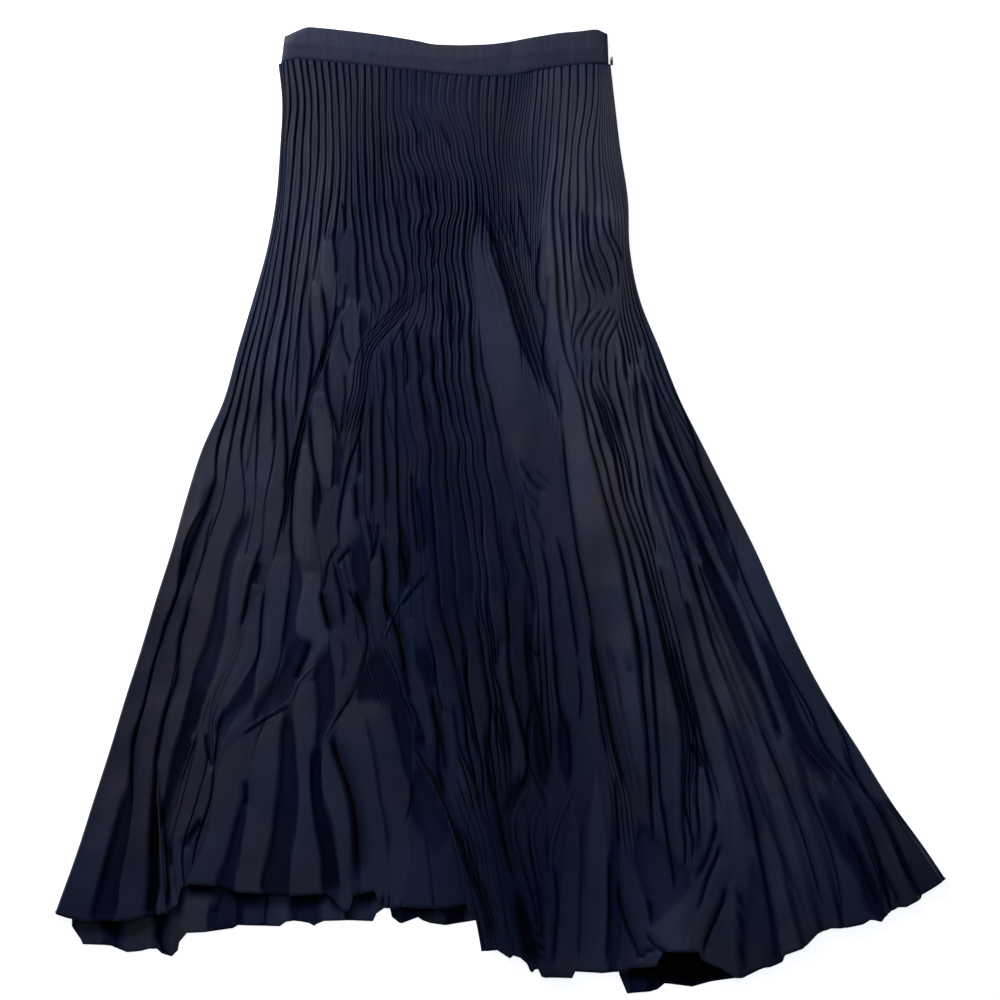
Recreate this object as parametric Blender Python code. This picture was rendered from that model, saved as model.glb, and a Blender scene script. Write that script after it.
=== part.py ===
"""A pleated midi skirt that lies flat on its back panel, with its waist towards +Y.

Sizes in the tables are millimetres. ACROSS is measured from the middle of the waist, positive
towards the side zip. DOWN is measured from the waist line towards the hem. The model is in
metres, +Z up, and its origin is on the surface that it lies on, under the middle of its box.
"""

import bmesh
import bpy
import numpy as np
from mathutils import Vector

MM = 0.001

# Where the middle of the skirt's box lies, in the tables' own directions
CENTRE_ACROSS = 0.75
CENTRE_DOWN = 450.75

# Cloth
WALL = 1.6                  # height of a panel's wall, crest or valley
BAND_WALL = 2.5             # the waistband is folded double over its interfacing
SEAM_GAP = 0.3              # between pieces that are sewn or lie on each other
MAX_SLOPE = 1.15            # steepest side of a pleat, so that its wall stays over 1 mm thick
MIN_PITCH = 1.3             # closest that two fold lines come

# Back panel: broad flats on the surface with a groove between each two
GROOVE_DEPTH = 1.2
GROOVE_SHARE = 0.34         # of a pleat's width
BACK_TOP = GROOVE_DEPTH + WALL

# Front panel: each pleat rises from its valley to a crest and drops over its return
FRONT_FLOOR = BACK_TOP + SEAM_GAP
PLEAT_HEIGHT = 3.2          # of a full pleat near the hem
SHOULDER_SHARE = 0.22       # of a face, where it has risen most of the way
SHOULDER_RISE = 0.72        # of the pleat's height
RETURN_SHARE = 0.30         # of a pleat's width, where no broad return is stated

# Levels of the rows, as shares of the way from waist to hem
FRONT_ROWS = (0, 0.05, 0.105, 0.16, 0.21, 0.26, 0.32, 0.38, 0.45, 0.53, 0.6, 0.68, 0.76, 0.84, 0.92, 1)
BACK_ROWS = (0, 0.12, 0.3, 0.5, 0.72, 0.88, 1)

PLEATS = 57                 # on each panel
EDGE_STEPS = 40             # steps by which a fold line's end closes in on the panel's edge

# Fold lines of the front panel: ACROSS of each valley at each station DOWN the skirt.
# Lines that have no row lie evenly between those that have one.
STATIONS = (0, 40, 90, 140, 190, 240, 290, 340, 390, 440, 490, 540, 590, 640, 690, 740, 790, 840)
WAIST_LINES = {
    # fold: 0      40      90
    0: (-221.0, -217.0, -219.0),
    1: (-218.5, -216.0, -217.5),
    2: (-216.0, -214.5, -216.0),
    3: (-212.0, -208.5, -212.5),
    4: (-206.0, -201.0, -204.0),
    5: (-198.5, -194.0, -196.0),
    6: (-192.0, -187.5, -188.0),
    7: (-184.5, -180.5, -180.0),
    8: (-177.5, -173.5, -173.0),
    9: (-170.0, -167.0, -165.5),
    10: (-163.0, -160.0, -158.5),
    11: (-156.0, -153.0, -152.0),
    12: (-150.0, -147.5, -148.0),
    13: (-142.0, -141.0, -142.0),
    14: (-134.0, -133.5, -133.5),
    15: (-127.0, -126.0, -125.0),
    17: (-112.0, -112.0, -111.0),
    19: (-98.0, -97.0, -89.0),
    20: (-91.0, -91.0, -80.5),
    21: (-82.0, -81.0, -70.0),
    22: (-73.0, -73.0, -63.0),
    24: (-57.0, -61.0, -48.0),
    25: (-48.0, -53.0, -39.0),
    26: (-38.0, -44.0, -30.0),
    28: (-15.0, -20.0, -17.0),
    30: (0.0, -3.0, -4.0),
    32: (13.0, 10.0, 4.0),
    35: (24.0, 20.0, 13.0),
    39: (34.0, 31.0, 27.0),
    43: (55.0, 54.0, 50.0),
    44: (63.0, 62.0, 58.0),
    45: (71.0, 70.0, 66.0),
    46: (79.0, 79.0, 72.0),
    47: (87.0, 87.0, 79.0),
    48: (95.0, 94.0, 86.0),
    49: (99.0, 99.0, 93.0),
    50: (101.0, 101.0, 99.0),
    57: (109.0, 113.5, 119.5),
}
FOLD_LINES = {
    # fold: 140   190   240   290   340   390   440   490   540   590   640   690   740   790   840
    0: (-223, -232, -246, -261, -275, -297, -313, -327, -343, -358, -374, -389, -405, -421, -439),
    1: (-220, -229, -241, -254, -266, -281, -285, -306, -323, -340, -353, -365, -366, -373, -382),
    2: (-218, -226, -236, -248, -258, -269, -276, -293, -307, -319, -330, -340, -343, -340, -338),
    3: (-216, -221, -230, -240, -249, -257, -253, -263, -271, -279, -295, -310, -324, -333, -329),
    4: (-209, -214, -221, -232, -238, -242, -243, -252, -262, -272, -289, -303, -317, -327, -321),
    5: (-199, -205, -212, -219, -225, -224, -233, -238, -250, -265, -285, -289, -302, -315, -313),
    6: (-191, -198, -206, -210, -215, -212, -214, -223, -234, -240, -254, -280, -288, -303, -310),
    7: (-185, -189, -197, -202, -208, -205, -207, -206, -209, -216, -228, -242, -250, -257, -262),
    8: (-176, -180, -188, -185, -192, -201, -205, -202, -197, -200, -207, -202, -201, -206, -208),
    9: (-168, -175, -174, -176, -186, -186, -178, -172, -178, -169, -175, -179, -172, -161, -157),
    10: (-160, -164, -162, -169, -170, -163, -167, -167, -155, -155, -152, -159, -145, -144, -138),
    11: (-153, -152, -150, -148, -150, -154, -160, -156, -146, -137, -123, -130, -123, -114, -116),
    12: (-147, -142, -141, -136, -140, -148, -155, -150, -137, -128, -115, -124, -117, -108, -110),
    13: (-139, -134, -126, -132, -135, -140, -142, -133, -129, -122, -101, -88, -89, -97, -97),
    15: (-123, -118, -107, -127, -125, -128, -126, -122, -118, -114, -92, -80, -57, -44, -33),
    17: (-104, -96, -92, -117, -114, -102, -101, -99, -100, -95, -79, -70, -41, -25, -16),
    19: (-77, -80, -78, -95, -92, -83, -82, -78, -75, -67, -58, -42, -26, -15, -6),
    20: (-69, -73, -72, -81, -76, -70, -67, -63, -59, -48, -36, -30, -20, -10, 2),
    21: (-61, -67, -65, -67, -60, -54, -50, -46, -43, -34, -29, -20, -13, -5, 9),
    22: (-54, -60, -57, -56, -50, -41, -38, -28, -25, -17, -8, -9, 0, 7, 29),
    24: (-40, -47, -40, -40, -36, -27, -19, -15, -10, -5, 3, 4, 11, 19, 40),
    25: (-31, -35, -29, -28, -21, -14, -6, 1, 8, 10, 16, 19, 24, 32, 44),
    26: (-22, -26, -20, -18, -8, 3, 14, 24, 33, 33, 37, 28, 46, 49, 58),
    28: (-10, -6, 9, 22, 24, 27, 34, 41, 43, 46, 49, 52, 59, 66, 72),
    30: (-1, 1, 13, 26, 32, 36, 40, 50, 52, 54, 57, 70, 71, 82, 83),
    35: (19, 19, 25, 34, 46, 49, 52, 60, 71, 76, 83, 88, 89, 96, 109),
    39: (31, 31, 33, 40, 56, 59, 63, 70, 81, 87, 96, 102, 112, 116, 122),
    43: (44, 40, 39, 45, 61, 64, 70, 78, 89, 96, 107, 117, 130, 136, 141),
    44: (54, 56, 58, 65, 82, 92, 106, 120, 130, 138, 144, 148, 152, 155, 157),
    45: (61, 63, 68, 77, 88, 102, 115, 130, 142, 150, 155, 158, 162, 170, 176),
    46: (70, 71, 78, 84, 95, 112, 124, 141, 155, 166, 178, 184, 185, 186, 189),
    47: (79, 79, 89, 93, 103, 119, 129, 146, 159, 170, 183, 190, 190, 192, 197),
    48: (88, 86, 98, 104, 111, 126, 136, 151, 163, 175, 188, 198, 198, 203, 209),
    49: (96, 94, 108, 113, 122, 135, 144, 156, 168, 181, 194, 205, 215, 217, 221),
    50: (103, 104, 114, 122, 136, 148, 160, 173, 187, 201, 217, 234, 249, 260, 270),
    51: (109, 111, 119, 127, 143, 155, 175, 188, 201, 217, 238, 255, 268, 284, 295),
    52: (114, 116, 123, 131, 147, 160, 181, 195, 212, 235, 256, 275, 290, 304, 316),
    53: (117, 119, 126, 135, 151, 166, 188, 203, 227, 251, 273, 299, 313, 327, 338),
    54: (120, 123, 129, 141, 158, 178, 202, 221, 241, 265, 290, 315, 338, 361, 379),
    55: (123, 126, 133, 148, 165, 194, 214, 236, 256, 278, 302, 326, 355, 376, 389),
    56: (125, 128, 136, 153, 172, 199, 221, 245, 266, 288, 321, 347, 377, 401, 424),
    57: (127, 129, 139, 159, 179, 204, 229, 254, 276, 299, 326, 358, 389, 425, 458),
}

# Returns that open wide: fold, DOWN where it starts and is full and ends, width when full
TO_HEM = 1200               # an end beyond the hem: the return stays open
WIDEST_RETURN = 0.7         # of a pleat's width
BROAD_RETURNS = (
    # fold, start, full, end, width
    (1, 400, 470, 560, 12),
    (1, 720, 830, TO_HEM, 21),
    (2, 680, 800, TO_HEM, 9),
    (3, 430, 620, 780, 19),
    (5, 490, 520, 600, 9),
    (6, 590, 640, 720, 14),
    (7, 700, 820, TO_HEM, 18),
    (8, 480, 760, TO_HEM, 24),
    (9, 410, 470, 540, 11),
    (9, 590, 640, 700, 19),
    (9, 690, 790, TO_HEM, 17),
    (10, 350, 400, 480, 7),
    (10, 660, 740, TO_HEM, 9),
    (13, 640, 700, 780, 13),
    (26, 480, 560, 800, 9),
    (30, 640, 700, 800, 9),
    (43, 580, 640, 720, 5),
    (53, 380, 540, 640, 15),
    (54, 360, 450, 560, 9),
    (54, 740, 810, 900, 11),
)

# The fold that lies over its neighbours: the panel steps up along it
LAPPED_FOLD = 43
LAP_RISE = 3.0
LAP_PLEATS = 5              # pleats over which the step dies away
LAP_DOWN = (120, 200, 700, 800)     # where the step starts, is full, starts to fade and ends

# Soft swells of the front panel: middle ACROSS and DOWN, reach each way, and height
SWELLS = (
    # across, down, reach across, reach down, height
    (-385, 840, 60, 220, 5.0),
    (-270, 700, 50, 190, 4.0),
    (-225, 850, 60, 140, 4.5),
    (-180, 250, 45, 150, 2.5),
    (-120, 700, 55, 160, 5.0),
    (-65, 850, 60, 130, 6.0),
    (10, 330, 60, 200, 3.0),
    (45, 880, 60, 260, 5.0),
    (90, 420, 60, 260, 3.5),
    (150, 640, 70, 240, 5.0),
    (270, 560, 70, 240, 3.5),
    (320, 800, 90, 170, 5.0),
)

# The lifted stretch of the front hem, open like the mouth of a tunnel
TUNNEL_ACROSS = 181
TUNNEL_DOWN = 905
TUNNEL_HALF_WIDTH = 58
TUNNEL_LENGTH = 190
TUNNEL_HEIGHT = 22.0

# Hems: ACROSS and DOWN of the points where each one turns
FRONT_HEM = (
    (-442.5, 852.5), (-430, 856.5), (-408, 860), (-372, 859), (-355, 855), (-338, 853),
    (-331, 852), (-329, 848), (-322, 846), (-318, 828), (-309, 823.5), (-285, 825),
    (-278, 826), (-262, 831), (-239, 832), (-210, 834.5), (-173, 833), (-165, 840),
    (-157, 850), (-150, 850), (-146, 835), (-125, 830), (-119, 846), (-106, 848), (-98, 845),
    (-80, 846.5), (-50, 846), (-34, 843), (-27, 855), (-21, 862), (-19, 890), (-13, 890),
    (-3, 889), (10, 897), (13, 894), (20, 896), (27, 902), (31, 912), (37, 905), (42, 916),
    (50, 915.5), (72, 916.5), (75, 910), (102, 912), (119, 910.5), (124, 912), (130, 907),
    (155, 903), (163, 888), (197, 888), (201, 897), (220, 906), (235, 917), (242, 917),
    (262, 907), (270, 906), (282, 901), (284, 894), (303, 887), (317, 872), (330, 867),
    (342, 867), (362, 863), (370, 858), (381, 861), (388, 852), (397, 846), (405, 846),
    (420, 838), (422, 833), (432, 827), (444, 819),
)
BACK_HEM = (
    (-430, 862), (-427, 868), (-420, 874), (-418, 884), (-390, 885), (-373, 892), (-360, 891),
    (-345, 887), (-338, 893), (-329, 897), (-322, 890), (-319, 873), (-295, 872), (-267, 868),
    (-262, 865), (-220, 866), (-212, 860), (-193, 862), (-185, 866), (-182, 861), (-150, 860),
    (-127, 861), (-121, 848), (-110, 848), (-107, 862), (-98, 863), (-82, 857), (-75, 862),
    (-55, 865), (-24, 860), (-15, 875), (20, 880), (60, 895), (118, 905), (122, 934),
    (130, 933), (155, 931), (165, 923), (192, 926.5), (212, 921), (242, 917), (250, 905),
    (300, 876), (350, 852), (400, 833), (432, 812),
)
BACK_LEFT_CORNER = -428
BACK_RIGHT_CORNER = 436
BACK_SIDE_INSET = 1.5       # the back's sides hide under the front's

# Waistband: ACROSS and DOWN of its top edge and of the seam below it
BAND_TOP = (
    (-217, -22), (-214, -25), (-206, -27.5), (-197, -31.5), (-192, -32.5), (-170, -30.5),
    (-130, -26), (-100, -21.5), (-80, -18), (-68, -15), (-40, -14), (-10, -15), (10, -17.5),
    (30, -21.5), (60, -26.5), (80, -28), (97, -30.3), (103, -29), (107.5, -24),
)
WAIST_SEAM = (
    (-221, 5), (-213, 2), (-203, 0), (-190, 1), (-150, 4.5), (-110, 9), (-80, 12), (-50, 15.5),
    (-20, 17.5), (7, 17), (40, 10.5), (60, 7.5), (80, 5.5), (100, 4), (109, 5),
)
BAND_LEFT = -218.5
BAND_RIGHT = 108.5
BAND_LEAN = (3.5, -1.2, 30)  # of its left and right end at the top, and how far in that dies away
BAND_ROWS = (0, 0.07, 0.22, 0.4, 0.55, 0.8, 0.94, 1)
BAND_SWELL = (0, 0.55, 0.9, 1.0, 1.35, 1.0, 0.6, 0)   # soft ridge over the seam allowance
BAND_RISE = 0.9
BAND_RISE_BELOW = 0.5

# Top of the concealed zip's slider, beside the band's end
SLIDER_SIZE = (3.0, 8.5, 2.2)
SLIDER_ACROSS = 111.4
SLIDER_DOWN = 1.5
SLIDER_LOW = 2.2
SLIDER_BEVEL = 0.7

# Finishes: base colour, roughness, metallic
FINISHES = {
    "pleated_cloth": ((0.022, 0.024, 0.040, 1), 0.62, 0.0),
    "band_cloth": ((0.026, 0.029, 0.048, 1), 0.60, 0.0),
    "slider_metal": ((0.30, 0.31, 0.33, 1), 0.35, 0.9),
}


def clear_scene():
    """Remove whatever the file holds."""
    for thing in list(bpy.data.objects):
        bpy.data.objects.remove(thing)


def read_table(table, at):
    """Second column of a two-column table, read at values of the first."""
    columns = np.array(table, dtype=float)
    return np.interp(at, columns[:, 0], columns[:, 1])


def smooth_table(stations, values, at):
    """Smooth curve through each column of values, given at the stations, read at one place each."""
    stations = np.array(stations, dtype=float)
    slopes = np.gradient(values, stations, axis=0)
    at = np.clip(at, stations[0], None)
    low = np.clip(np.searchsorted(stations, at, side="right") - 1, 0, len(stations) - 2)
    span = stations[low + 1] - stations[low]
    share = (at - stations[low]) / span
    column = np.arange(values.shape[1])
    start, end = values[low, column], values[low + 1, column]
    out, into = slopes[low, column] * span, slopes[low + 1, column] * span
    inside = (
        start * (1 + 2 * share) * (1 - share) ** 2 + out * share * (1 - share) ** 2
        + end * share ** 2 * (3 - 2 * share) + into * share ** 2 * (share - 1)
    )
    beyond = end + into * (share - 1)
    return np.where(share > 1, beyond, inside)


def smooth_bump(distance):
    """1 in the middle, falling smoothly to 0 at a distance of 1."""
    near = np.clip(1 - np.abs(distance), 0, 1)
    return near * near * (3 - 2 * near)


def fold_table():
    """ACROSS of every fold line at every station, with the lines between the stated ones."""
    folds = np.arange(PLEATS + 1)
    rows = []
    for table in (WAIST_LINES, FOLD_LINES):
        stated = sorted(table)
        for column in zip(*(table[fold] for fold in stated)):
            rows.append(np.interp(folds, stated, column))
    return np.array(rows)


def keep_apart(lines):
    """Fold lines in order across the panel, none nearer than MIN_PITCH, its sides unmoved."""
    spread = lines.copy()
    for fold in range(1, len(spread) - 1):
        spread[fold] = max(spread[fold], spread[fold - 1] + MIN_PITCH)
    for fold in range(len(spread) - 2, 0, -1):
        spread[fold] = min(spread[fold], spread[fold + 1] - MIN_PITCH)
    return spread


def meet_edge(line_at, edge, lines):
    """DOWN where each line meets an edge, found by walking along the line to the edge's outline."""
    down = np.full(lines, edge[len(edge) // 2][1], dtype=float)
    for _ in range(EDGE_STEPS):
        down = (down + read_table(edge, line_at(down))) / 2
    return down


def return_width(fold, down, pitch):
    """Width of the return before a fold line."""
    width = RETURN_SHARE * pitch
    for wide_fold, start, full, end, full_width in BROAD_RETURNS:
        if wide_fold == fold and start < down < end:
            opening = np.interp(down, (start, full, end), (0, 1, 1 if end == TO_HEM else 0))
            width = max(width, full_width * opening)
    return min(width, WIDEST_RETURN * pitch)


def swell_height(across, down):
    """Height of the drape under the pleats."""
    height = 0.0
    for mid_across, mid_down, reach_across, reach_down, rise in SWELLS:
        height += rise * (smooth_bump((across - mid_across) / reach_across)
                          * smooth_bump((down - mid_down) / reach_down))
    tunnel = smooth_bump((across - TUNNEL_ACROSS) / TUNNEL_HALF_WIDTH)
    mouth = np.clip((down - TUNNEL_DOWN + TUNNEL_LENGTH) / TUNNEL_LENGTH, 0, 1) ** 2
    return height + TUNNEL_HEIGHT * tunnel * mouth


def lap_height(fold, down):
    """Step of the fold that lies over its neighbours."""
    if fold < LAPPED_FOLD:
        return 0.0
    along = np.interp(down, LAP_DOWN, (0, 1, 1, 0))
    return LAP_RISE * along * max(0.0, 1 - (fold - LAPPED_FOLD) / LAP_PLEATS)


def to_metres(across, down, height):
    """A point of the tables' frame in the model's frame."""
    return Vector(((across - CENTRE_ACROSS) * MM, (CENTRE_DOWN - down) * MM, height * MM))


def build_wall(name, finish, points, other_heights):
    """A closed wall between a grid of (across, down, height) points and the other heights."""
    rows, columns = len(points), len(points[0])
    mesh_data = bmesh.new()
    cell = mesh_data.verts.layers.int.new("cell")
    grid = []
    for row in range(rows):
        for column in range(columns):
            corner = mesh_data.verts.new(to_metres(*points[row][column]))
            corner[cell] = row * columns + column
            grid.append(corner)
    for row in range(rows - 1):
        for column in range(columns - 1):
            first = row * columns + column
            below = first + columns
            mesh_data.faces.new((grid[first], grid[below], grid[below + 1]))
            mesh_data.faces.new((grid[first], grid[below + 1], grid[first + 1]))
    new_parts = bmesh.ops.extrude_face_region(mesh_data, geom=mesh_data.faces[:])["geom"]
    for part in new_parts:
        if isinstance(part, bmesh.types.BMVert):
            row, column = divmod(part[cell], columns)
            part.co.z = other_heights[row][column] * MM
    bmesh.ops.recalc_face_normals(mesh_data, faces=mesh_data.faces[:])
    return finish_object(name, finish, mesh_data)


def finish_object(name, finish, mesh_data):
    """An object from a finished bmesh, with its own material."""
    mesh = bpy.data.meshes.new(name)
    mesh_data.to_mesh(mesh)
    mesh_data.free()
    mesh.materials.append(make_material(name + "_finish", *FINISHES[finish]))
    thing = bpy.data.objects.new(name, mesh)
    bpy.context.scene.collection.objects.link(thing)
    return thing


def make_material(name, colour, roughness, metallic):
    """A Principled material."""
    material = bpy.data.materials.new(name)
    material.use_nodes = True
    shader = material.node_tree.nodes["Principled BSDF"]
    shader.inputs["Base Color"].default_value = colour
    shader.inputs["Roughness"].default_value = roughness
    shader.inputs["Metallic"].default_value = metallic
    material.diffuse_color = colour
    return material


def front_row(table, waist_down, hem_down, level):
    """Points of the front panel on one level between the waist and the hem."""
    down = waist_down + (hem_down - waist_down) * level
    lines = keep_apart(smooth_table(STATIONS, table, down))
    points = []
    for fold in range(PLEATS):
        left, right = lines[fold], lines[fold + 1]
        pitch = right - left
        width = return_width(fold + 1, down[fold + 1], pitch)
        crest = right - width
        shoulder = left + SHOULDER_SHARE * (crest - left)
        rise = min(PLEAT_HEIGHT, MAX_SLOPE * width, MAX_SLOPE * (shoulder - left) / SHOULDER_RISE)
        for across, share in ((left, 0), (shoulder, SHOULDER_RISE), (crest, 1)):
            at_down = np.interp(across, (left, right), (down[fold], down[fold + 1]))
            place = fold + (across - left) / pitch
            base = FRONT_FLOOR + WALL + swell_height(across, at_down) + lap_height(place, at_down)
            points.append((across, at_down, base + rise * share))
    points.append((lines[-1], down[-1], FRONT_FLOOR + WALL))
    return points


def build_front_panel():
    """The front panel, on the back panel."""
    table = fold_table()

    def line_at(down):
        return smooth_table(STATIONS, table, down)

    waist_down = meet_edge(line_at, WAIST_SEAM, PLEATS + 1) + SEAM_GAP / 2
    hem_down = meet_edge(line_at, FRONT_HEM, PLEATS + 1)
    points = [front_row(table, waist_down, hem_down, level) for level in FRONT_ROWS]
    lower = [[height - WALL for _, _, height in row] for row in points]
    build_wall("front_panel", "pleated_cloth", points, lower)


def build_back_panel():
    """The back panel: flats on the surface, and a groove between each two pleats."""
    table = fold_table()
    sides = table[:, (0, PLEATS)] + (BACK_SIDE_INSET, -BACK_SIDE_INSET)
    shares = []
    heights = []
    for fold in range(PLEATS):
        shares += [fold / PLEATS, (fold + 1 - GROOVE_SHARE) / PLEATS,
                   (fold + 1 - GROOVE_SHARE / 2) / PLEATS]
        heights += [0, 0, GROOVE_DEPTH]
    shares = np.array(shares + [1])
    heights.append(0)

    def line_at(down):
        left = smooth_table(STATIONS, np.repeat(sides[:, :1], len(shares), axis=1), down)
        right = smooth_table(STATIONS, np.repeat(sides[:, 1:], len(shares), axis=1), down)
        left = np.clip(left, BACK_LEFT_CORNER, None)
        right = np.clip(right, None, BACK_RIGHT_CORNER)
        return left + (right - left) * shares

    waist_down = meet_edge(line_at, WAIST_SEAM, len(shares)) + SEAM_GAP / 2
    hem_down = meet_edge(line_at, BACK_HEM, len(shares))
    points = []
    for level in BACK_ROWS:
        down = waist_down + (hem_down - waist_down) * level
        points.append(list(zip(line_at(down), down, heights)))
    upper = [[height + WALL for height in heights] for _ in points]
    build_wall("back_panel", "pleated_cloth", points, upper)


def band_stations():
    """ACROSS of the band's stations: wherever its top or its seam turns, and both ends."""
    turns = [across for across, _ in BAND_TOP + WAIST_SEAM if BAND_LEFT < across < BAND_RIGHT]
    return np.unique([BAND_LEFT, *turns, BAND_RIGHT])


def band_lean(across):
    """How far the band's top leans inwards over its seam."""
    left, right, reach = BAND_LEAN
    return (left * np.clip(1 - (across - BAND_LEFT) / reach, 0, 1)
            + right * np.clip(1 - (BAND_RIGHT - across) / reach, 0, 1))


def band_grid(base, rise):
    """Points of one half of the waistband, rising from base by up to rise times BAND_SWELL."""
    across = band_stations()
    top = read_table(BAND_TOP, across)
    seam = read_table(WAIST_SEAM, across) - SEAM_GAP / 2
    lean = band_lean(across)
    return [
        [(at + slant * level, seam_down + (top_down - seam_down) * level, base + rise * swell)
         for at, slant, seam_down, top_down in zip(across, lean, seam, top)]
        for level, swell in zip(BAND_ROWS, BAND_SWELL)
    ]


def build_waistband():
    """Both halves of the waistband: the back half lies on the surface, the front half on it."""
    back_top = BAND_WALL
    front_bottom = back_top + BAND_RISE_BELOW * max(BAND_SWELL) + SEAM_GAP
    stations = len(band_stations())
    flat = [[0] * stations for _ in BAND_ROWS]
    build_wall("waistband_back", "band_cloth", band_grid(back_top, BAND_RISE_BELOW), flat)
    under = [[front_bottom] * stations for _ in BAND_ROWS]
    build_wall("waistband_front", "band_cloth", band_grid(front_bottom + BAND_WALL, BAND_RISE), under)


def build_zip_slider():
    """The slider's top, a small rounded block at the end of the waist seam."""
    mesh_data = bmesh.new()
    bmesh.ops.create_cube(mesh_data, size=1)
    bmesh.ops.scale(mesh_data, vec=[side * MM for side in SLIDER_SIZE], verts=mesh_data.verts)
    bmesh.ops.bevel(mesh_data, geom=mesh_data.edges[:], offset=SLIDER_BEVEL * MM, segments=2,
                    affect="EDGES", profile=0.5)
    slider = finish_object("zip_slider", "slider_metal", mesh_data)
    slider.location = to_metres(SLIDER_ACROSS, SLIDER_DOWN, SLIDER_LOW + SLIDER_SIZE[2] / 2)


clear_scene()
build_back_panel()
build_front_panel()
build_waistband()
build_zip_slider()
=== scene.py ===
"""A pleated midi skirt laid flat on its back panel: its looks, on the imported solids.

Sizes in the tables are millimetres. ACROSS is measured from the middle of the waist, positive
towards the side zip. DOWN is measured from the waist line towards the hem.
"""

import bpy
import numpy as np
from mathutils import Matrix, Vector


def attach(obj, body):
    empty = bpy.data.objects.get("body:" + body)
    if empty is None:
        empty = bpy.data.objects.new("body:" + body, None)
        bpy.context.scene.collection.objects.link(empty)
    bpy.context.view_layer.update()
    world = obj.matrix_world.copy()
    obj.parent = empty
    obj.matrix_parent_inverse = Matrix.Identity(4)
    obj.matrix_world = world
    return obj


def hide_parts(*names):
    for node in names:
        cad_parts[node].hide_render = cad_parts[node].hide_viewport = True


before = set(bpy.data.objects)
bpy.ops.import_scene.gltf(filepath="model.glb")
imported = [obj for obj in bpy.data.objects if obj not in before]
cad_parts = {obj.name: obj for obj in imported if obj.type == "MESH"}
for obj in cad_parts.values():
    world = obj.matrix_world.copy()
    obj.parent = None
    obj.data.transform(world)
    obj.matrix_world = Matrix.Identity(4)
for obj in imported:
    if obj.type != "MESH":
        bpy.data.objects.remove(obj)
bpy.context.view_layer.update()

MM = 0.001
CENTRE_ACROSS = 0.75        # the model's middle, in the tables' frame
CENTRE_DOWN = 450.75

# Heights, as in the solids
FRONT_FLOOR = 3.1           # lowest point of the front panel
FRONT_RISE = 1.0            # of its cloth's valleys above that

PLEATS = 57                 # on each panel
MIN_PITCH = 1.3             # between two fold lines
EDGE_STEPS = 40             # of the search for where a line meets an edge
LINE_FINENESS = 4           # points of a rounder line for each one that is given
WAVER_TURNS = ((2.1, 12.9898), (3.7, 78.233), (1.3, 37.719))    # rate and shift of each sine of a waver

# Fold lines of the front panel: ACROSS of each valley at each station DOWN the skirt.
# Lines that have no row lie evenly between those that have one.
STATIONS = (0, 40, 90, 140, 190, 240, 290, 340, 390, 440, 490, 540, 590, 640, 690, 740, 790, 840)
WAIST_LINES = {
    # fold: 0      40      90
    0: (-221.0, -217.0, -219.0),
    1: (-218.5, -216.0, -217.5),
    2: (-216.0, -214.5, -216.0),
    3: (-212.0, -208.5, -212.5),
    4: (-206.0, -201.0, -204.0),
    5: (-198.5, -194.0, -196.0),
    6: (-192.0, -187.5, -188.0),
    7: (-184.5, -180.5, -180.0),
    8: (-177.5, -173.5, -173.0),
    9: (-170.0, -167.0, -165.5),
    10: (-163.0, -160.0, -158.5),
    11: (-156.0, -153.0, -152.0),
    12: (-150.0, -147.5, -148.0),
    13: (-142.0, -141.0, -142.0),
    14: (-134.0, -133.5, -133.5),
    15: (-127.0, -126.0, -125.0),
    17: (-112.0, -112.0, -111.0),
    19: (-98.0, -97.0, -89.0),
    20: (-91.0, -91.0, -80.5),
    21: (-82.0, -81.0, -70.0),
    22: (-73.0, -73.0, -63.0),
    24: (-57.0, -61.0, -48.0),
    25: (-48.0, -53.0, -39.0),
    26: (-38.0, -44.0, -30.0),
    28: (-15.0, -20.0, -17.0),
    30: (0.0, -3.0, -4.0),
    32: (13.0, 10.0, 4.0),
    35: (24.0, 20.0, 13.0),
    39: (34.0, 31.0, 27.0),
    43: (55.0, 54.0, 50.0),
    44: (63.0, 62.0, 58.0),
    45: (71.0, 70.0, 66.0),
    46: (79.0, 79.0, 72.0),
    47: (87.0, 87.0, 79.0),
    48: (95.0, 94.0, 86.0),
    49: (99.0, 99.0, 93.0),
    50: (101.0, 101.0, 99.0),
    57: (109.0, 113.5, 119.5),
}
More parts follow.
